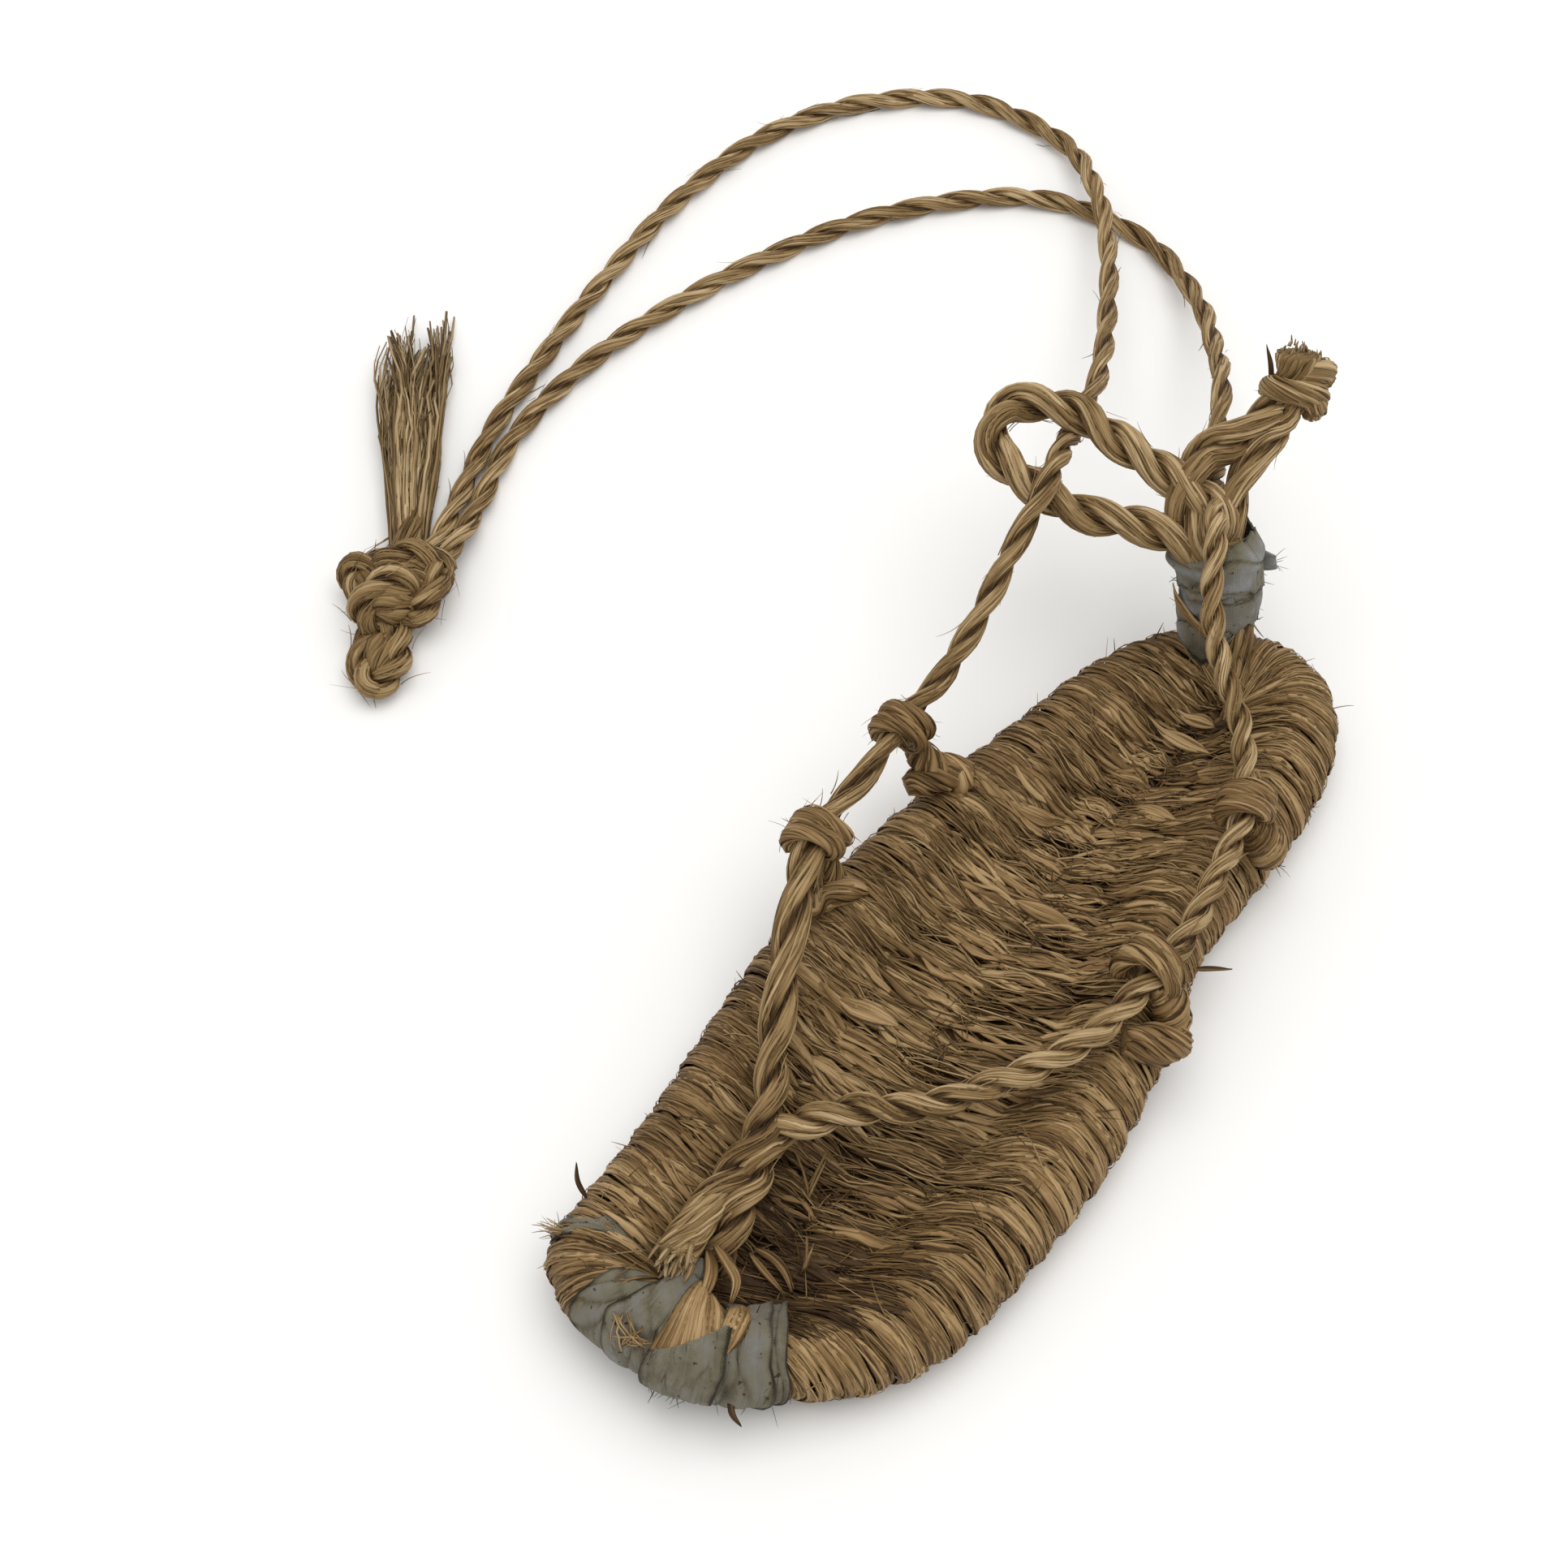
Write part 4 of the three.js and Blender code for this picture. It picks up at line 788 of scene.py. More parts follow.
shares = np.linspace(0, 1, sole["shares"])
leftEdge, rightEdge = evenCurve(leftOutline, sole["shares"]), evenCurve(rightOutline, sole["shares"])
heldShare = np.clip(shares, sole["middleFirst"], sole["middleLast"])
middleLine = np.stack(
    [np.interp(heldShare, shares, (leftEdge[:, axis] + rightEdge[:, axis]) / 2) for axis in (0, 1)], axis=1)
halfLies = np.linspace(0, 5, sole["lies"] // 2 + 1)
leftSkin, leftHub = skinHalf(leftEdge, middleLine, halfLies)
rightSkin, rightHub = skinHalf(rightEdge, middleLine, halfLies)
soleSkin = np.concatenate([leftSkin[:, :0:-1], rightSkin], axis=1)
soleHub = np.concatenate([leftHub[:, :0:-1], rightHub], axis=1)
soleNormal = unit(np.cross(np.gradient(soleSkin, axis=1), np.gradient(soleSkin, axis=0)))
soleNormal = soleNormal * np.sign((soleNormal * (soleSkin - soleHub)).sum(axis=2))[..., None]
bedShare = easeStep((np.abs(np.linspace(-5, 5, sole["lies"])) - 0.5) / 0.5)[None, :, None]
soleNormal = unit(soleNormal * bedShare + straightUp * (1 - bedShare))


# point and way out of the skin at any share and lie, between the four nearest grid points;
# past a tip the surface goes on down the other side
def skinAt(share, lie):
    passed = (share < 0) | (share > 1)
    lie = np.where(passed, -lie, lie)
    share = np.where(share < 0, -share, np.where(share > 1, 2 - share, share))
    row = np.clip(share, 0, 1) * (sole["shares"] - 1)
    column = np.clip((lie + 5) / 10, 0, 1) * (sole["lies"] - 1)
    rowAt = np.minimum(row.astype(int), sole["shares"] - 2)
    columnAt = np.minimum(column.astype(int), sole["lies"] - 2)
    down, over = (row - rowAt)[..., None], (column - columnAt)[..., None]
    point, outward = [
        (1 - down) * ((1 - over) * grid[rowAt, columnAt] + over * grid[rowAt, columnAt + 1])
        + down * ((1 - over) * grid[rowAt + 1, columnAt] + over * grid[rowAt + 1, columnAt + 1])
        for grid in (soleSkin, soleNormal)]
    return point, unit(outward)


# a blade's height by its half width, counted up to broadest in mm, and how much taller a fine ridge is
skinBlade = {"crown": 0.2, "broadest": 0.9, "fineRidge": 3}


# blades that lie on the skin: a low section, flat-topped or ridged, carried along a line of shares and lies
def bladesOnSkin(share, lie, lift, half, tone, fine=False):
    middle, outward = skinAt(share, lie)
    middle = middle + outward * lift[..., None]
    ahead = unit(np.gradient(middle, axis=1))
    half = half[..., None]
    reach = unit(np.cross(outward, ahead)) * half
    tall = outward * np.minimum(half, skinBlade["broadest"]) * skinBlade["crown"]
    if fine:
        return closedStrands(ridged(middle, reach, tall * skinBlade["fineRidge"]), tone)
    return closedStrands(flatTopped(middle, reach, tall), tone, flatTopSpots)


coreShares, coreLies = np.meshgrid(
    np.linspace(0, 1, sole["coreShares"]), np.linspace(-5, 5, sole["coreLies"]), indexing="ij")
corePoints, coreOut = skinAt(coreShares, coreLies)
coreSunk = sole["coreSunk"] * easeStep((4.1 - np.abs(coreLies)) / 0.3)[..., None]
coreSkin = gridPart(corePoints - coreOut * coreSunk, 0.3)
corePiece = addPiece("soleCore", [coreSkin], shadedCoreStraw, ["sole"])
shell = bmesh.new()
shell.from_mesh(corePiece.data)
bmesh.ops.remove_doubles(shell, verts=shell.verts, dist=0.02 * mm)
bmesh.ops.recalc_face_normals(shell, faces=shell.faces)
shell.to_mesh(corePiece.data)
shell.free()

# rim: turns of straw round the roll, broad blades first and fine ones over them
rim = {
    "turns": 29, "steps": 16, "long": 60, "ridge": 1.1, "clothRight": 0.105, "clothLeft": 0.03,
    "lowEnd": (3.6, 4.15), "highEnd": (0.7, 1.4), "slantRight": 0.016, "slantLeft": -0.004,
    "tone": (0.12, 0.82), "valleyShade": 0.3, "leftDark": 0.1, "hollowShade": 0.45}
rimLayers = [  # piece, blades in a turn, half widths, lift, whether they are fine
    ("rimTurns", 13, (0.42, 1.1), -0.85, False),
    ("rimFibres", 11, (0.14, 0.36), -0.5, True)]


# each blade goes from under the sole over the crown and down into the footbed; a turn is a half round of
# blades, drawn together at both ends and slanted on its inner side
def rimBlades(perTurn, halfRange, raised, fine):
    sideOf = np.repeat([-1, 1], rim["turns"] * perTurn)
    turnOf = np.tile(np.repeat(np.arange(rim["turns"]), perTurn), 2)
    offset = np.tile((np.arange(perTurn) + 0.5) / perTurn - 0.5, 2 * rim["turns"])
    offset = offset + chance.uniform(-0.08, 0.08, len(offset))
    start = (turnOf + 0.5 + offset) / rim["turns"]
    bare = start > np.where(sideOf > 0, rim["clothRight"], rim["clothLeft"])
    sideOf, turnOf, offset = sideOf[bare], turnOf[bare], offset[bare]
    number = len(offset)
    run = np.linspace(0, 1, rim["steps"])[None, :]
    way = run[0] * rim["long"]
    lie = chance.uniform(*rim["lowEnd"], (number, 1)) * (1 - run)
    lie = lie + chance.uniform(*rim["highEnd"], (number, 1)) * run
    inner = np.maximum(2 - lie, 0)
    turnWay = chance.normal(0, 0.0022, (2, rim["turns"]))[(sideOf + 1) // 2, turnOf][:, None]
    share = (turnOf[:, None] + 0.5 + offset[:, None] * (0.72 + 0.26 * np.sin(math.pi * run))) / rim["turns"]
    slant = np.where(sideOf[:, None] > 0, rim["slantRight"], rim["slantLeft"])
    share = share - slant * inner + turnWay * (run - 0.5) * 2
    share = share + 0.0024 * wander(number, way, 40)
    ridge = rim["ridge"] * np.sqrt(np.clip(1 - (2 * offset) ** 2, 0, 1))[:, None]
    lift = raised + ridge + chance.uniform(-0.15, 0.35, (number, 1)) + 0.12 * wander(number, way, 26)
    lift = lift - 1.2 * easeStep((run - 0.86) / 0.14) - 0.5 * easeStep((0.12 - run) / 0.12)
    half = chance.uniform(*halfRange, (number, 1)) * np.clip(1 + 0.45 * wander(number, way, 24), 0.3, 1.5)
    half = half * slimEnds(run, 0.2, 6)
    # painted shade in the valleys between turns, on each turn's outer blades
    tone = chance.uniform(*rim["tone"], number) - rim["valleyShade"] * easeStep((np.abs(offset) - 0.3) / 0.2)
    # painted shade: the left side of the rim is drawn darker, to even out the light that falls on it
    tone = tone - rim["leftDark"] * (sideOf < 0)
    # painted shade in the hollow before the heel
    hollow = rim["hollowShade"] * easeStep((share - 0.8) / 0.05) * easeStep((1.4 - lie) / 0.4)
    return bladesOnSkin(share, sideOf[:, None] * lie, lift, half, tone[:, None] - hollow, fine)


for rimName, *rimLayer in rimLayers:
    addPiece(rimName, [rimBlades(*rimLayer)], strawBlade, ["sole"])
print("rim wound")

# footbed: rows of lens-shaped bundles over four warps, half a step further on over every other warp
bed = {
    "rows": 30, "steps": 10, "long": 14, "warps": (-1.42, -0.5, 0.5, 1.42), "reach": 0.72, "dome": 1.9,
    "spread": 0.0175, "slantRight": 0.026, "slantLeft": 0.008, "tone": (0.0, 0.95), "toeDark": 0.85,
    "bundleEdgeShade": 0.4, "heelHollowShade": 0.5, "leafBlades": 4}
bedLayers = [  # blades in a bundle, half widths, lift, whether they are fine
    (14, (0.42, 1.05), -0.8, False),
    (14, (0.14, 0.34), -0.4, True)]
bedLeaves = [  # broad pale leaves that stand out: first share and lie, last share and lie, tone
    (0.798, -1.27, 0.809, 0.73, 0.75), (0.823, -1.28, 0.836, 0.19, 0.8), (0.644, -1.6, 0.673, -0.69, 0.7),
    (0.725, 0.13, 0.733, 1.2, 0.7), (0.581, -0.37, 0.594, 0.61, 0.7), (0.411, -1.39, 0.431, -0.4, 0.75)]


# each bundle fans out to a lens at its middle and domes up there; its ends dip under the next ones
def bedBlades(perLens, halfRange, raised, fine):
    rowOf, warpOf, bladeOf = [grid.ravel() for grid in np.meshgrid(
        np.arange(bed["rows"]), np.arange(len(bed["warps"])), np.arange(perLens), indexing="ij")]
    number = len(rowOf)
    warp = np.array(bed["warps"])[warpOf]
    inner = np.abs(warp) < 1
    offset = (bladeOf + 0.5) / perLens * 2 - 1 + chance.uniform(-0.14, 0.14, number)
    lensSlide = chance.normal(0, 0.1, (2, bed["rows"], len(bed["warps"])))[:, rowOf, warpOf]
    rowShare = (rowOf + 0.5 + 0.5 * (warpOf % 2) + lensSlide[0]) / bed["rows"]
    run = np.linspace(-1, 1, bed["steps"])[None, :]
    way = run[0] * bed["long"]
    reach = bed["reach"] * chance.uniform(0.7, 1.15, (number, 1))
    lie = warp[:, None] + reach * run + chance.uniform(-0.12, 0.12, (number, 1)) + lensSlide[1][:, None]
    fan = 0.25 + 0.75 * np.cos(run * math.pi / 2)
    slant = np.where(warp > 0, bed["slantRight"], bed["slantLeft"])[:, None]
    share = rowShare[:, None] + bed["spread"] * offset[:, None] * fan + slant * (reach * run)
    share = share + 0.003 * wander(number, way, 20)
    dome = bed["dome"] * np.sqrt(np.clip(1 - offset**2, 0.0, 1))[:, None] * np.cos(run * math.pi / 2) ** 0.7
    lift = raised + dome
    lift = lift + chance.uniform(-0.2, 0.4, (number, 1)) - 0.7 * np.abs(run) ** 4
    half = chance.uniform(*halfRange, (number, 1)) * np.clip(1 + 0.4 * wander(number, way, 14), 0.4, 1.5)
    half = half * (0.12 + 0.88 * np.clip(1 - run**2, 0, 1) ** 0.7)
    inside = (rowShare > np.where(inner, 0.115, 0.02)) & (rowShare < np.where(inner, 0.875, 0.985))
    # painted shade on the toe of the footbed, which lies under the straps
    toeShade = bed["toeDark"] * easeStep((0.36 - rowShare) / 0.16) * easeStep((warp + 1.5) / 0.8)
    tone = chance.uniform(*bed["tone"], number) - toeShade
    # painted shade on each bundle's edges, in the gaps between the bundles
    tone = tone - bed["bundleEdgeShade"] * easeStep((np.abs(offset) - 0.55) / 0.45)
    # painted shade in the hollow before the heel
    tone = tone - bed["heelHollowShade"] * easeStep((rowShare - 0.765) / 0.045) * inner
    return bladesOnSkin(share[inside], lie[inside], lift[inside], half[inside], tone[inside], fine)


# a leaf is a few broad blades side by side, bowed out at the middle
def bedLeaf(firstShare, firstLie, lastShare, lastLie, leafTone):
    number = bed["leafBlades"]
    run = np.linspace(-1, 1, bed["steps"])[None, :]
    bow = np.cos(run * math.pi / 2)
    offset = np.linspace(-0.8, 0.8, number)[:, None] + chance.uniform(-0.1, 0.1, (number, 1))
    share = (firstShare + lastShare) / 2 + (lastShare - firstShare) / 2 * run + 0.0065 * offset * bow
    lie = (firstLie + lastLie) / 2 + (lastLie - firstLie) / 2 * run * chance.uniform(0.85, 1.1, (number, 1))
    lift = 0.8 + chance.uniform(0, 0.25, (number, 1)) + 1.1 * (1 - 0.4 * offset**2) * bow**0.6
    half = chance.uniform(0.8, 1.3, (number, 1)) * (0.1 + 0.9 * np.clip(1 - run**2, 0, 1) ** 0.7)
    return bladesOnSkin(share, lie, lift, half, leafTone + chance.uniform(-0.35, 0.1, number))


bedWeave, bedFibres = [bedBlades(*layer) for layer in bedLayers]
bedWeave = [bedWeave] + [bedLeaf(*leaf) for leaf in bedLeaves]
addPiece("footbedWeave", bedWeave, strawBlade, ["sole"])
addPiece("footbedFibres", [bedFibres], strawBlade, ["sole"])
print("footbed woven")

# loose straws over the sole: they lie mostly with the weave, a few stand off at one end; then fuzz on the
# rim, and nests of tangled straw in the footbed
stray = {
    "straws": 620, "long": (5.0, 15.0), "half": (0.08, 0.22), "ends": (0.03, 0.97), "fuzz": 150,
    "fuzzLong": (2.5, 6.0), "fuzzHalf": (0.06, 0.16), "nestLong": (3.0, 9.0), "nestHalf": (0.08, 0.2)}
nests = [  # middle share and lie, reach in share and lie, straws
    (0.27, 0.2, 0.035, 0.6, 90), (0.45, -0.1, 0.03, 0.3, 60), (0.6, 0.05, 0.04, 0.25, 50),
    (0.74, 0.0, 0.04, 0.3, 60), (0.2, 0.9, 0.03, 0.4, 40)]
share = chance.uniform(*stray["ends"], stray["straws"])
lie = chance.uniform(-2.2, 2.2, stray["straws"])
root, outward = skinAt(share, lie)
along = unit(skinAt(share, lie + 0.05)[0] - skinAt(share, lie - 0.05)[0])
along = along * np.where(np.abs(lie) > 1.3, -np.sign(lie), chance.choice([-1, 1], stray["straws"]))[:, None]
askew = np.cross(outward, along) * chance.normal(0, 0.4, (stray["straws"], 1))
hairWay = along + askew + outward * chance.uniform(0.0, 0.25, (stray["straws"], 1))
hairParts.append(looseHairs(
    root + outward * 0.4, hairWay, outward * chance.uniform(-0.2, 0.1, (stray["straws"], 1)),
    chance.uniform(*stray["long"], stray["straws"]),
    chance.uniform(*stray["half"], stray["straws"]), (-0.2, 0.8)))
share = chance.uniform(*stray["ends"], stray["fuzz"])
root, outward = skinAt(share, chance.choice([-1, 1], stray["fuzz"]) * chance.uniform(2.1, 3.0, stray["fuzz"]))
hairWay = outward * chance.uniform(0.2, 0.9, (stray["fuzz"], 1)) + chance.normal(0, 0.6, (stray["fuzz"], 3))
hairParts.append(looseHairs(
    root, hairWay, 0 * hairWay, chance.uniform(*stray["fuzzLong"], stray["fuzz"]),
    chance.uniform(*stray["fuzzHalf"], stray["fuzz"]), (-0.2, 0.6)))
for nestShare, nestLie, shareReach, lieReach, straws in nests:
    share = chance.normal(nestShare, shareReach, straws)
    root, outward = skinAt(share, chance.normal(nestLie, lieReach, straws))
    hairWay = chance.normal(size=(straws, 3)) * np.array([1, 1, 0.12]) + outward * 0.08
    hairParts.append(looseHairs(
        root + outward * 0.9, hairWay, 0 * hairWay, chance.uniform(*stray["nestLong"], straws),
        chance.uniform(*stray["nestHalf"], straws), (-0.35, 0.5)))


# gives a strip of cloth its thickness, inwards from the surface that was worked out
def thickenCloth(piece, thick):
    wall = piece.modifiers.new("clothThickness", "SOLIDIFY")
    wall.thickness = thick * mm
    wall.offset = -1


# threads that stand off a strip's torn edges, each along its own way and bent by a share of it
def hemThreads(name, root, way, bend, lengthRange, tone):
    length = chance.uniform(*lengthRange, len(root))
    half = chance.uniform(0.07, 0.14, len(root))
    strands = looseHairs(root, way, bend * way, length, half, tone)
    return addPiece(name, [strands], wornCloth)


# toe: a strip of old cloth wound round the rim on the slant, each band a little over the last
toeCloth = {
    "over": 1.15, "rows": 54, "columns": 30, "long": 36, "wide": 10, "thick": 0.5, "cut": (0.018, 0.18),
    "folds": 5, "foldWide": 0.055, "lowest": 0.6, "threads": 120, "threadLong": (1.5, 4.5)}
edgeLies = (1.15, 1.9, 2.4, 2.9, 3.4, 4.1)
toeEdges = np.array([  # share of each edge at those lies, right is plus
    (-0.083, -0.065, -0.053, -0.042, -0.030, -0.014),
    (-0.014, -0.021, -0.025, -0.010, 0.008, 0.026),
    (0.036, 0.030, 0.028, 0.028, 0.032, 0.040),
    (0.142, 0.107, 0.085, 0.069, 0.060, 0.052),
    (0.174, 0.143, 0.124, 0.113, 0.105, 0.095),
    (0.192, 0.162, 0.144, 0.131, 0.121, 0.110),
    (-0.135, -0.141, -0.130, -0.118, -0.108, -0.100),
    (-0.134, -0.124, -0.108, -0.102, -0.096, -0.090)])
tuckShares, tuckLies = (0.02, 0.062, 0.105), (2.66, 2.30, 2.0)  # where straw goes in under the third band
toeBands = [  # first edge, overlap past the second, lowest lie, lift, swell below the straw, tone
    (0, 0.016, 4.1, 1.0, 0.0, 0.01),
    (1, 0.014, 3.7, 1.9, 0.0, 0.05),
    (2, 0.010, 3.3, 1.3, 3.3, 0.02),
    (3, 0.008, 4.1, 2.5, 0.0, 0.02),
    (4, 0.0, 4.1, 1.6, 0.0, -0.1),
    (6, 0.0, 2.8, 0.2, 0.0, 0.0)]


# a band is a patch of the skin between two edges of the winding, held off by its lift, with two long waves
# and a few sharp creases; the points of its torn edges come with it
def toeBand(edge, overlap, lowest, bandLift, swollen, bandTone):
    down, over = np.meshgrid(
        np.linspace(0, 1, toeCloth["rows"]), np.linspace(0, 1, toeCloth["columns"]), indexing="ij")
    frayed = 0.14 * wander(1, over[0] * toeCloth["wide"], 4)[0]
    frayed = frayed + 0.06 * chance.normal(size=toeCloth["columns"])
    lie = toeCloth["over"] + (lowest - toeCloth["over"] + frayed) * down
    wavy = 0.0012 * wander(2, down[:, 0] * toeCloth["long"], 12)
    firstEdge = np.interp(lie, edgeLies, toeEdges[edge]) + wavy[0][:, None]
    lastEdge = np.interp(lie, edgeLies, toeEdges[edge + 1]) + overlap + wavy[1][:, None]
    share = firstEdge + (lastEdge - firstEdge) * over
    crease = 0.24 * np.sin(over * 6 + down * 7 + edge * 2) + 0.2 * np.sin(over * 4 - down * 17 + edge * 5)
    foldTurn, foldPlace = chance.uniform(-1.2, 1.2, (2, toeCloth["folds"], 1, 1))
    foldWay = (over - 0.5) * np.cos(foldTurn) + (down - 0.5) * 2.4 * np.sin(foldTurn) - foldPlace * 0.6
    folds = np.exp(-((foldWay / toeCloth["foldWide"]) ** 2)).sum(axis=0)
    points, outward = skinAt(np.abs(share), np.where(share < 0, -lie, lie))
    nearEdge = np.minimum(over, 1 - over)
    edges = np.clip(nearEdge * 14, 0, 1)
    belowTuck = easeStep((lie - np.interp(share, tuckShares, tuckLies)) / 0.1)
    puffed = swollen * belowTuck * easeStep((3.5 - lie) / 0.8)
    calm = 0.45 if swollen else 1.0
    off = bandLift + puffed + calm * (crease - 0.6 * folds) * edges - 0.1 * (1 - edges)
    points = points + outward * off[..., None]
    points[..., 2] = np.maximum(points[..., 2], toeCloth["lowest"])
    shadow = 0.5 * (1 - edges) + 0.16 * (1 - np.clip(nearEdge * 6, 0, 1))  # painted shade along both its edges, where it meets the bands next to it
    # painted shade in the folds
    tone = bandTone - 0.2 * calm * folds - shadow
    hems = [points[-1], points[-1], points[5::6, 0], points[5::6, -1]]
    return gridPart(points[:, ::-1], tone[:, ::-1]), hems


toeTurns = [toeBand(*band) for band in toeBands]
toeClothPiece = addPiece("toeCloth", [part for part, hems in toeTurns], wornCloth, ["toe_cloth"])
thickenCloth(toeClothPiece, toeCloth["thick"])
hemPoints = np.concatenate([hem for part, hems in toeTurns for hem in hems])
threadRoot = hemPoints[chance.integers(0, len(hemPoints), toeCloth["threads"])]
threadWay = np.array([0, 0, -0.5]) + chance.normal(0, 0.5, threadRoot.shape)
toeThreads = hemThreads("toeThreads", threadRoot, threadWay, 0.3, toeCloth["threadLong"], (-0.3, 0.05))

# straw laid over the cloth at the toe, fanning out from the thong: the left one goes in under the third band,
# the right one is a leaf that narrows at both ends
binding = {
    "blades": 40, "steps": 18, "long": 24, "lift": 2.5, "dome": 0.9, "half": (0.4, 0.95), "tone": (0.35, 0.9)}
bindings = [  # node, then share and lie of the first and last blade at the top, the middle and the low end
    ("toe_binding_left", (0.072, 1.1, 0.100, 1.0), (0.044, 1.95, 0.110, 1.55), (0.024, 2.86, 0.106, 2.2)),
    ("toe_binding_right", (0.160, 0.92, 0.166, 0.98), (0.100, 2.05, 0.140, 1.76), (0.072, 2.62, 0.084, 2.46))]
for bindNode, *bindEnds in bindings:
    bladeShape = (binding["blades"], 1)
    run = np.linspace(0, 1, binding["steps"])[None, :]
    fan = (np.arange(binding["blades"])[:, None] + chance.uniform(0, 0.8, bladeShape)) / binding["blades"]
    top, mid, low = [
        [ends[which] + (ends[which + 2] - ends[which]) * fan for which in (0, 1)] for ends in bindEnds]
    late = run * chance.uniform(1.0, 1.05, bladeShape)
    share, lie = [  # a curve through the three places
        high * (1 - late) * (1 - 2 * late) + midway * 4 * late * (1 - late) + foot * late * (2 * late - 1)
        for high, midway, foot in zip(top, mid, low)]
    share = share + 0.0007 * wander(binding["blades"], run[0] * binding["long"], 14)
    lift = binding["lift"] + chance.uniform(0, 0.2, bladeShape) + binding["dome"] * np.sin(fan * math.pi)
    lift = lift - 2.4 * easeStep((run - 0.86) / 0.14)
    lift = lift - 1.6 * easeStep((0.2 - run) / 0.2)
    half = chance.uniform(*binding["half"], bladeShape) * slimEnds(run, 0.35, 4, 1.08)
    # painted shade on both sides of the fan, where the domed band curves down
    bindTone = chance.uniform(*binding["tone"], binding["blades"]) - 0.3 * (2 * fan[:, 0] - 1) ** 2
    bindBlades = bladesOnSkin(share, lie, lift, half, bindTone)
    addPiece(pieceName(bindNode), [bindBlades], strawBlade, [bindNode])

# a curl of loose straw caught between the bands, and the frayed ends and leaves that stand off the shoe
curl = {"steps": 14, "each": 3, "lift": 2.2, "half": (0.12, 0.28), "tone": (0.4, 1.0)}
curlLines = np.array([  # share and lie at both ends of each lot of straws
    (-0.016, 2.42, 0.023, 2.66), (0.0, 2.66, 0.024, 2.54), (0.007, 2.76, 0.014, 2.45),
    (-0.012, 2.4, 0.006, 2.8), (-0.004, 2.38, 0.022, 2.6)])
curlEnds = np.repeat(curlLines, curl["each"], axis=0)
curlEnds = curlEnds + chance.normal(size=curlEnds.shape) * np.array([0.0025, 0.03, 0.0025, 0.03])
run = np.linspace(0, 1, curl["steps"])[None, :]
curlShape = (len(curlEnds), 1)
bow = chance.uniform(-1, 1, curlShape) * np.sin(math.pi * run)
share = curlEnds[:, :1] + (curlEnds[:, 2:3] - curlEnds[:, :1]) * run + 0.004 * bow
lie = curlEnds[:, 1:2] + (curlEnds[:, 3:] - curlEnds[:, 1:2]) * run + 0.05 * bow
lift = curl["lift"] + chance.uniform(0, 0.8, curlShape) + np.sin(math.pi * run)
half = chance.uniform(*curl["half"], curlShape) * slimEnds(run, 0.3, 6)
share, lie = np.abs(share), np.where(share < 0, -lie, lie)
hairParts.append(bladesOnSkin(share, lie, lift, half, chance.uniform(*curl["tone"], len(curlEnds)), True))
frayedEnds = [  # root, tip, straws, spread, half widths, tones
    ((-209.0, 20.0, 5.0), (-216.0, -1.5, 2.0), 4, 0.5, (0.1, 0.2), (0.2, 0.8)),
    ((-34.5, -114.0, 20.0), (-40.5, -116.5, 18.5), 16, 0.8, (0.1, 0.2), (0.6, 1.1)),
    ((33.6, 68.6, 13.0), (36.8, 71.2, 5.0), 4, 0.2, (0.15, 0.3), (-0.3, 0.1)),
    ((0.2, -71.4, 13.0), (-8.0, -60.0, 19.0), 3, 0.3, (0.25, 0.4), (0.3, 0.8)),
    ((11.0, -86.5, 13.0), (9.0, -80.5, 19.0), 3, 0.3, (0.3, 0.6), (0.3, 0.8)),
    ((38.0, -20.0, 20.0), (45.0, -14.0, 21.0), 4, 0.3, (0.12, 0.25), (-0.2, 0.3)),
    ((-9.5, 119.4, 23.0), (-3.6, 119.0, 13.0), 22, 1.2, (0.2, 0.5), (-0.2, 0.4)),
    ((-46.0, -10.5, 33.0), (-42.6, -17.5, 25.5), 30, 1.3, (0.15, 0.5), (0.0, 0.8))]
standingLeaves = [  # route, leaves, spread, half widths, tones
    ([(-35.5, -105.5, 21), (-38.2, -105, 25.2), (-40, -103, 29.5)], 2, 0.2, (0.35, 0.5), (-0.45, -0.1)),
    ([(35.5, 31.5, 12.5), (39, 34.2, 12.8), (42.6, 37.2, 12.4)], 2, 0.4, (0.5, 0.8), (-0.4, 0.0)),
    ([(16, -118.6, 13), (18.4, -121.2, 11.5), (21.4, -121.6, 9)], 2, 0.3, (0.5, 0.8), (-0.45, -0.1)),
    ([(-1.5, -89.5, 12), (3, -90, 13.2), (7, -91, 13.6), (11.5, -92.8, 13)],
        12, 2.6, (0.35, 0.8), (0.0, 0.5)),
    ([(-6.5, -96.5, 20), (-0.7, -99, 21.8), (3, -101.1, 22.6), (5.4, -105.6, 22.8)],
        5, 1.4, (0.5, 1.1), (0.35, 0.85)),
    ([(-7.5, -97.5, 18), (-3.5, -101, 20.5), (-0.5, -106, 23.4), (1, -110, 26.4)],
        5, 1.6, (0.4, 0.9), (0.2, 0.75))]
hairParts += [cutStraws(*fray) for fray in frayedEnds]
hairParts += [leafBlades(*leaves) for leaves in standingLeaves]

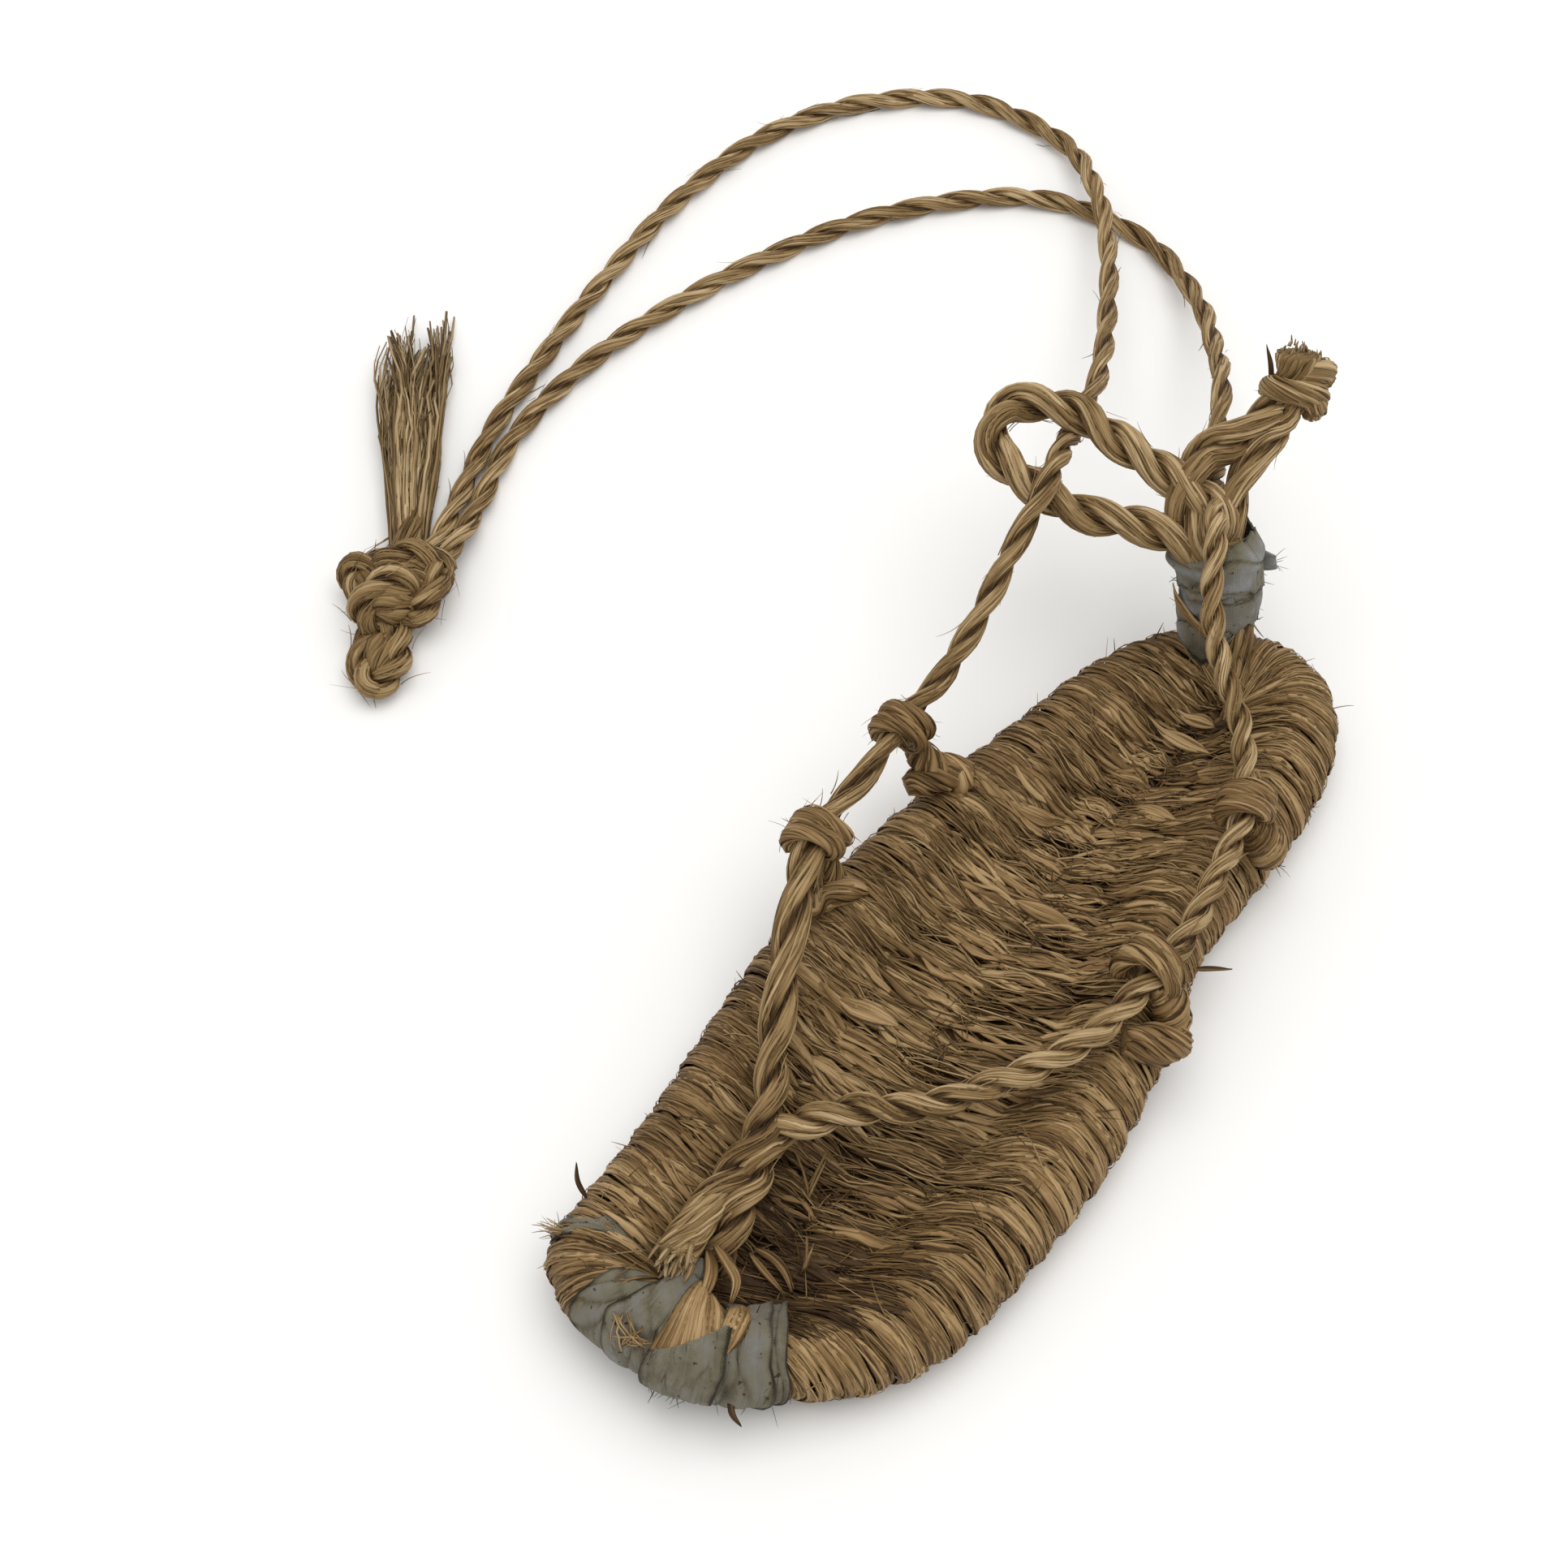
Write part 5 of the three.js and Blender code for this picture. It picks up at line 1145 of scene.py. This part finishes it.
# cloth round the neck of the heel: three turns, each hem over the turn below, the lowest torn away on the
# right, the top one higher there, and a loose flap
heelCloth = {
    "rows": 24, "columns": 101, "thick": 0.5, "cut": (0.022, 0.125), "tilt": 4.0, "near": -0.899,
    "rightRise": 4.0, "flare": 2.6, "flareAt": 3.75, "crease": 0.8, "fold": 0.7, "threads": 90,
    "threadLong": (0.8, 2.8)}
clothPath = evenCurve([(-11, 111.7, 15), (-14.8, 114.4, 32), (-19.2, 116.8, 51), (-21, 117.8, 58)], 93)
heelBands = [  # heights of both edges, torn off on the right, radius, bulge, tucked hem, gathered top, tone
    (17.5, 34.0, 13.0, 9.7, 0.4, 1.0, 0.0, 0.04),
    (28.0, 42.5, 0.0, 10.2, 0.3, 0.1, 0.0, 0.15),
    (37.6, 48.8, 0.0, 10.7, 0.3, 0.1, 3.6, 0.2)]


# the neck's middle at a height, and the level way out of it at an angle
def roundNeck(height, around):
    centre = np.stack([np.interp(height, clothPath[:, 2], clothPath[:, axis]) for axis in range(3)], axis=-1)
    return centre, np.stack([np.cos(around), np.sin(around), 0 * around], axis=-1)


# a turn is a barrel round the neck, higher on the near side, pulled in at its tucked edges, with nearly level
# folds; the points of its edges come with it
def heelTurn(lowEdge, highEdge, torn, bandRadius, bulge, hemTuck, gathered, bandTone):
    down, around = np.meshgrid(
        np.linspace(0, 1, heelCloth["rows"]), np.linspace(0, fullTurn, heelCloth["columns"]), indexing="ij")
    nearness = np.cos(around - heelCloth["near"])
    rightness = np.cos(around - heelCloth["near"] - fullTurn / 4)
    ragged = 0.7 * np.sin(around * 5 + lowEdge) + 0.5 * np.sin(around * 11 + highEdge)
    ragged = ragged + 0.4 * np.sin(around * 23)
    bottom = lowEdge + torn * easeStep((rightness + 0.05) / 0.5)
    top = highEdge + heelCloth["rightRise"] * easeStep((rightness + 0.2) / 0.8) * (gathered > 0)
    height = bottom + (top - bottom) * down + heelCloth["tilt"] * nearness * (1 - 0.2 * down)
    height = height + ragged * (2 * down - 1) ** 4
    centre, outWay = roundNeck(height, around)
    levelLine = down * 5 + 0.6 * np.sin(around * 2 + lowEdge) + around * 0.5
    crease = 0.3 * np.sin(levelLine * 2) * np.cos(around * 2 + lowEdge)
    crease = crease + 0.3 * np.sin(around * 3 - down * 7 + lowEdge)
    crease = crease + 0.16 * np.sin(around * 7 + down * 9) * np.sin(around * 2 - down * 3)
    folds = np.exp(-((np.sin(levelLine) / 0.15) ** 2))
    folds = folds + 0.7 * np.exp(-((np.sin(around * 1.5 - down * 2 + lowEdge) / 0.08) ** 2))
    tuck = 1 - np.where(down > 0.5, 1, hemTuck) * np.abs(2 * down - 1) ** 3
    flare = heelCloth["flare"] * np.exp(-(((around - heelCloth["flareAt"]) / 0.4) ** 2))
    flare = flare * easeStep((down - 0.35) / 0.3) * (gathered > 0)
    rumple = (crease * heelCloth["crease"] - heelCloth["fold"] * folds) * (0.35 + 0.65 * tuck)
    size = bandRadius + bulge * tuck + flare + rumple
    size = size - gathered * easeStep((down - 0.7) / 0.3) * (0.55 + 0.45 * nearness)
    points = centre + outWay * size[..., None]
    points[:, -1] = points[:, 0]
    # painted light and shade: raised creases lighter, folds darker, and painted shade at the tucked hems and
    # along the lowest rows
    tone = bandTone - 0.03 + 0.34 * crease - 0.44 * folds
    tone = tone - 0.4 * (1 - tuck) - 0.35 * np.exp(-((down / 0.07) ** 2))
    return gridPart(points[:, ::-1], tone[:, ::-1]), [points[0, ::2], points[0, 50::2], points[-1, ::3]]


heelTurns = [heelTurn(*band) for band in heelBands]
flapTop, flapLow, flapTip = np.array([(-14.0, 123.4, 47.0), (-10.8, 121.6, 39.5), (-6.4, 124.6, 43.6)])
flapDown, flapOver = np.meshgrid(np.linspace(0, 1, 12), np.linspace(0, 1, 9), indexing="ij")
flapRoot = flapTop + (flapLow - flapTop) * flapOver[..., None]
flapHem = 0.5 * np.sin(flapOver * 25)[..., None] * np.array([0.8, 0.2, 0.2])
flapEnd = flapTip + (flapLow - flapTop) * (flapOver[..., None] - 0.5) * 0.4 + flapHem
flapWave = (0.8 * np.sin(flapOver * 6 + flapDown * 4) * flapDown)[..., None] * np.array([0.4, -0.6, 0.5])
flapPoints = flapRoot + (flapEnd - flapRoot) * flapDown[..., None] + flapWave
heelClothParts = [part for part, hems in heelTurns] + [gridPart(flapPoints, 0.2)]
heelClothPiece = addPiece("heelCloth", heelClothParts, wornCloth, ["heel_cloth"])
thickenCloth(heelClothPiece, heelCloth["thick"])
hemPoints = np.concatenate([hem for part, hems in heelTurns for hem in hems] + [flapPoints[-1]] * 3)
threadRoot = hemPoints[chance.integers(0, len(hemPoints), heelCloth["threads"])]
threadWay = unit(threadRoot - np.array([-15, 114.5, 32])) * np.array([1, 1, 0.2]) + np.array([0, 0, -0.5])
threadWay = threadWay + chance.normal(0, 0.4, threadWay.shape)
heelThreads = hemThreads("heelThreads", threadRoot, threadWay, 0.2, heelCloth["threadLong"], (0.0, 0.3))

# a band of straw wound over that cloth on the left, a fifth of the way round
wound = {
    "blades": 7, "steps": 22, "first": 3.85, "turn": 1.3, "height": 36.5, "drop": 5.0, "wide": 1.2,
    "radius": 11.3, "half": (0.5, 1.0), "ridge": 0.3, "tone": (0.3, 0.8)}
run = np.linspace(0, 1, wound["steps"])[None, :]
stripe = chance.uniform(-1, 1, (wound["blades"], 1))
around = wound["first"] + wound["turn"] * run + 0.02 * stripe
centre, outWay = roundNeck(wound["height"] - wound["drop"] * run + wound["wide"] * stripe, around)
middle = centre + outWay * (wound["radius"] + 0.3 * np.sin(9 * run + stripe))[..., None]
half = (chance.uniform(*wound["half"], (wound["blades"], 1)) * slimEnds(run, 0.3, 5))[..., None]
across = unit(np.cross(outWay, np.gradient(middle, axis=1)))
rings = ridged(middle, across * half, outWay * wound["ridge"])
hairParts.append(closedStrands(rings, chance.uniform(*wound["tone"], wound["blades"])))
print("cloth wound")

# side loops: a ring of straw rope round the strap, and its stem, which comes up from the rim; on the right
# the stem is a thick wound roll over the rim's edge, on the left a short roll lies across its foot
loops = {
    "rope": 2.2, "lay": 46.0, "turns": 1.7, "pitch": 6.4, "steps": 60, "long": 60, "uneven": 0.15,
    "stemStep": 0.7, "hairs": 44, "hairLong": (2.5, 7.0)}
sideLoops = [  # node, strap, ring's place, shift and radius, then stems: lay, places with radius
    ("side_loop_front_left", "left", (-48.4, -7.3, 38), (0, 0, 0), 5.3,
        [(26, [(-47, -8, 34, 2.9), (-43.5, -8, 25, 3.8), (-39.5, -8, 17.5, 5.0)]),
         (40, [(-42.5, -20, 25, 2.2), (-41, -14, 25.4, 3.3), (-38.6, -8, 24, 3.2), (-36, -4, 22.2, 2.0)])]),
    ("side_loop_rear_left", "left", (-50.6, 29, 39), (0.6, 0.3, -0.6), 5.3,
        [(26, [(-48.6, 30, 35, 2.9), (-43.6, 32, 26, 4.2), (-37, 37, 20.5, 5.4)]),
         (40, [(-45, 24, 24.5, 2.4), (-43, 27.5, 25, 3.6), (-39, 33.5, 24.5, 3.6), (-35.5, 38, 22.5, 2.2)])]),
    ("side_loop_front_right", "right", (33, 15.6, 31.3), (-1.8, -1.2, 0), 6.3,
        [(11, [(36, 14.5, 30, 3.0), (39.6, 13, 25, 4.2), (42, 11, 19, 3.8)]),
         (70, [(45, 12, 17.5, 2.6), (43.8, 8.6, 19.4, 4.6), (40.6, 4.2, 21.2, 5.2), (35, 0, 23, 3.6)])]),
    ("side_loop_rear_right", "right", (24.4, 66.5, 30.5), (0, 0, 0), 5.5,
        [(11, [(27, 66.4, 27, 3.0), (31, 66.8, 21, 5.2), (33, 66.5, 15.5, 3.6)])])]
for loopNode, strapName, loopPlace, loopShift, loopRadius, stems in sideLoops:
    strapPath = strapPaths[strapName]
    near = np.argmin(np.linalg.norm(strapPath - np.array(loopPlace), axis=1))
    ahead = unit(strapPath[near + 1] - strapPath[near - 1])
    sideWay = unit(np.cross((0, 0, 1), ahead))
    upWay = np.cross(ahead, sideWay)
    run = np.linspace(-0.5, 0.5, loops["steps"])
    way = run * loops["long"]
    angle = -math.pi / 2 + run * fullTurn * loops["turns"]
    loopSize = loopRadius * (1 + loops["uneven"] * wander(2, way, 20))
    loopPath = np.outer(np.cos(angle) * loopSize[0], sideWay) + np.outer(np.sin(angle) * loopSize[1], upWay)
    loopPath = loopPath + strapPath[near] + np.array(loopShift) + np.outer(run * loops["pitch"], ahead)
    loopSwell = 1 + loops["uneven"] * wander(1, way, 22)[0]
    loopParts = twistedCord(
        loopPath, loops["rope"], loops["lay"], plies=1, blades=15, up=ahead, swell=loopSwell, tone=(0.0, 0.8),
        rough=2.4)
    for stemLay, stemPlaces in stems:
        stemCurve = denseCurve(stemPlaces)
        stemSteps = int(lengthAlong(stemCurve[:, :3])[-1] / loops["stemStep"])
        stem = stemCurve[np.linspace(0, len(stemCurve) - 1, stemSteps).astype(int)]
        loopParts += twistedCord(
            stem[:, :3], 1.0, stemLay, plies=1, blades=18, up=(0.3, 1, 0.1), swell=stem[:, 3],
            tone=(-0.15, 0.85), rough=2.6)
    hairParts.append(cordHairs(loopPath, loops["rope"], loops["hairs"], loops["hairLong"]))
    addPiece(pieceName(loopNode), loopParts, strawBlade, [loopNode])
print("side loops made")

addPiece("looseHairs", hairParts, strawBlade)

# pale floor, a broad soft light from above and behind, and an even pale sky; places and sizes in metres
studio = {
    "floorHalf": 12, "floorColour": "#f5f4f2", "floorRough": 0.9, "sky": 0.8, "keyPower": 10.0,
    "keySize": 1.3, "keyPlace": (0.05, 0.1, 1.4), "keyAim": (-0.03, 0, 0)}
floorHalf = studio["floorHalf"]
floorCorners = [(x * floorHalf, y * floorHalf, 0) for x, y in ((-1, -1), (1, -1), (1, 1), (-1, 1))]
floorMesh = bpy.data.meshes.new("floor")
floorMesh.from_pydata(floorCorners, [], [(0, 1, 2, 3)])
floor = bpy.data.objects.new("floor", floorMesh)
bpy.context.collection.objects.link(floor)
palePaper, paperShader = newFinish("palePaper")
paperShader.inputs["Base Color"].default_value = hexColour(studio["floorColour"])
paperShader.inputs["Roughness"].default_value = studio["floorRough"]
floorMesh.materials.append(palePaper)
world = bpy.data.worlds.new("paleSky")
bpy.context.scene.world = world
world.use_nodes = True
world.node_tree.nodes["Background"].inputs["Color"].default_value = (1, 1, 1, 1)
world.node_tree.nodes["Background"].inputs["Strength"].default_value = studio["sky"]
keyData = bpy.data.lights.new("softKey", "AREA")
keyData.energy = studio["keyPower"]
keyData.size = studio["keySize"]
key = bpy.data.objects.new("softKey", keyData)
key.location = studio["keyPlace"]
key.rotation_mode = "QUATERNION"
key.rotation_quaternion = (Vector(studio["keyAim"]) - key.location).to_track_quat("-Z", "Y")
bpy.context.collection.objects.link(key)
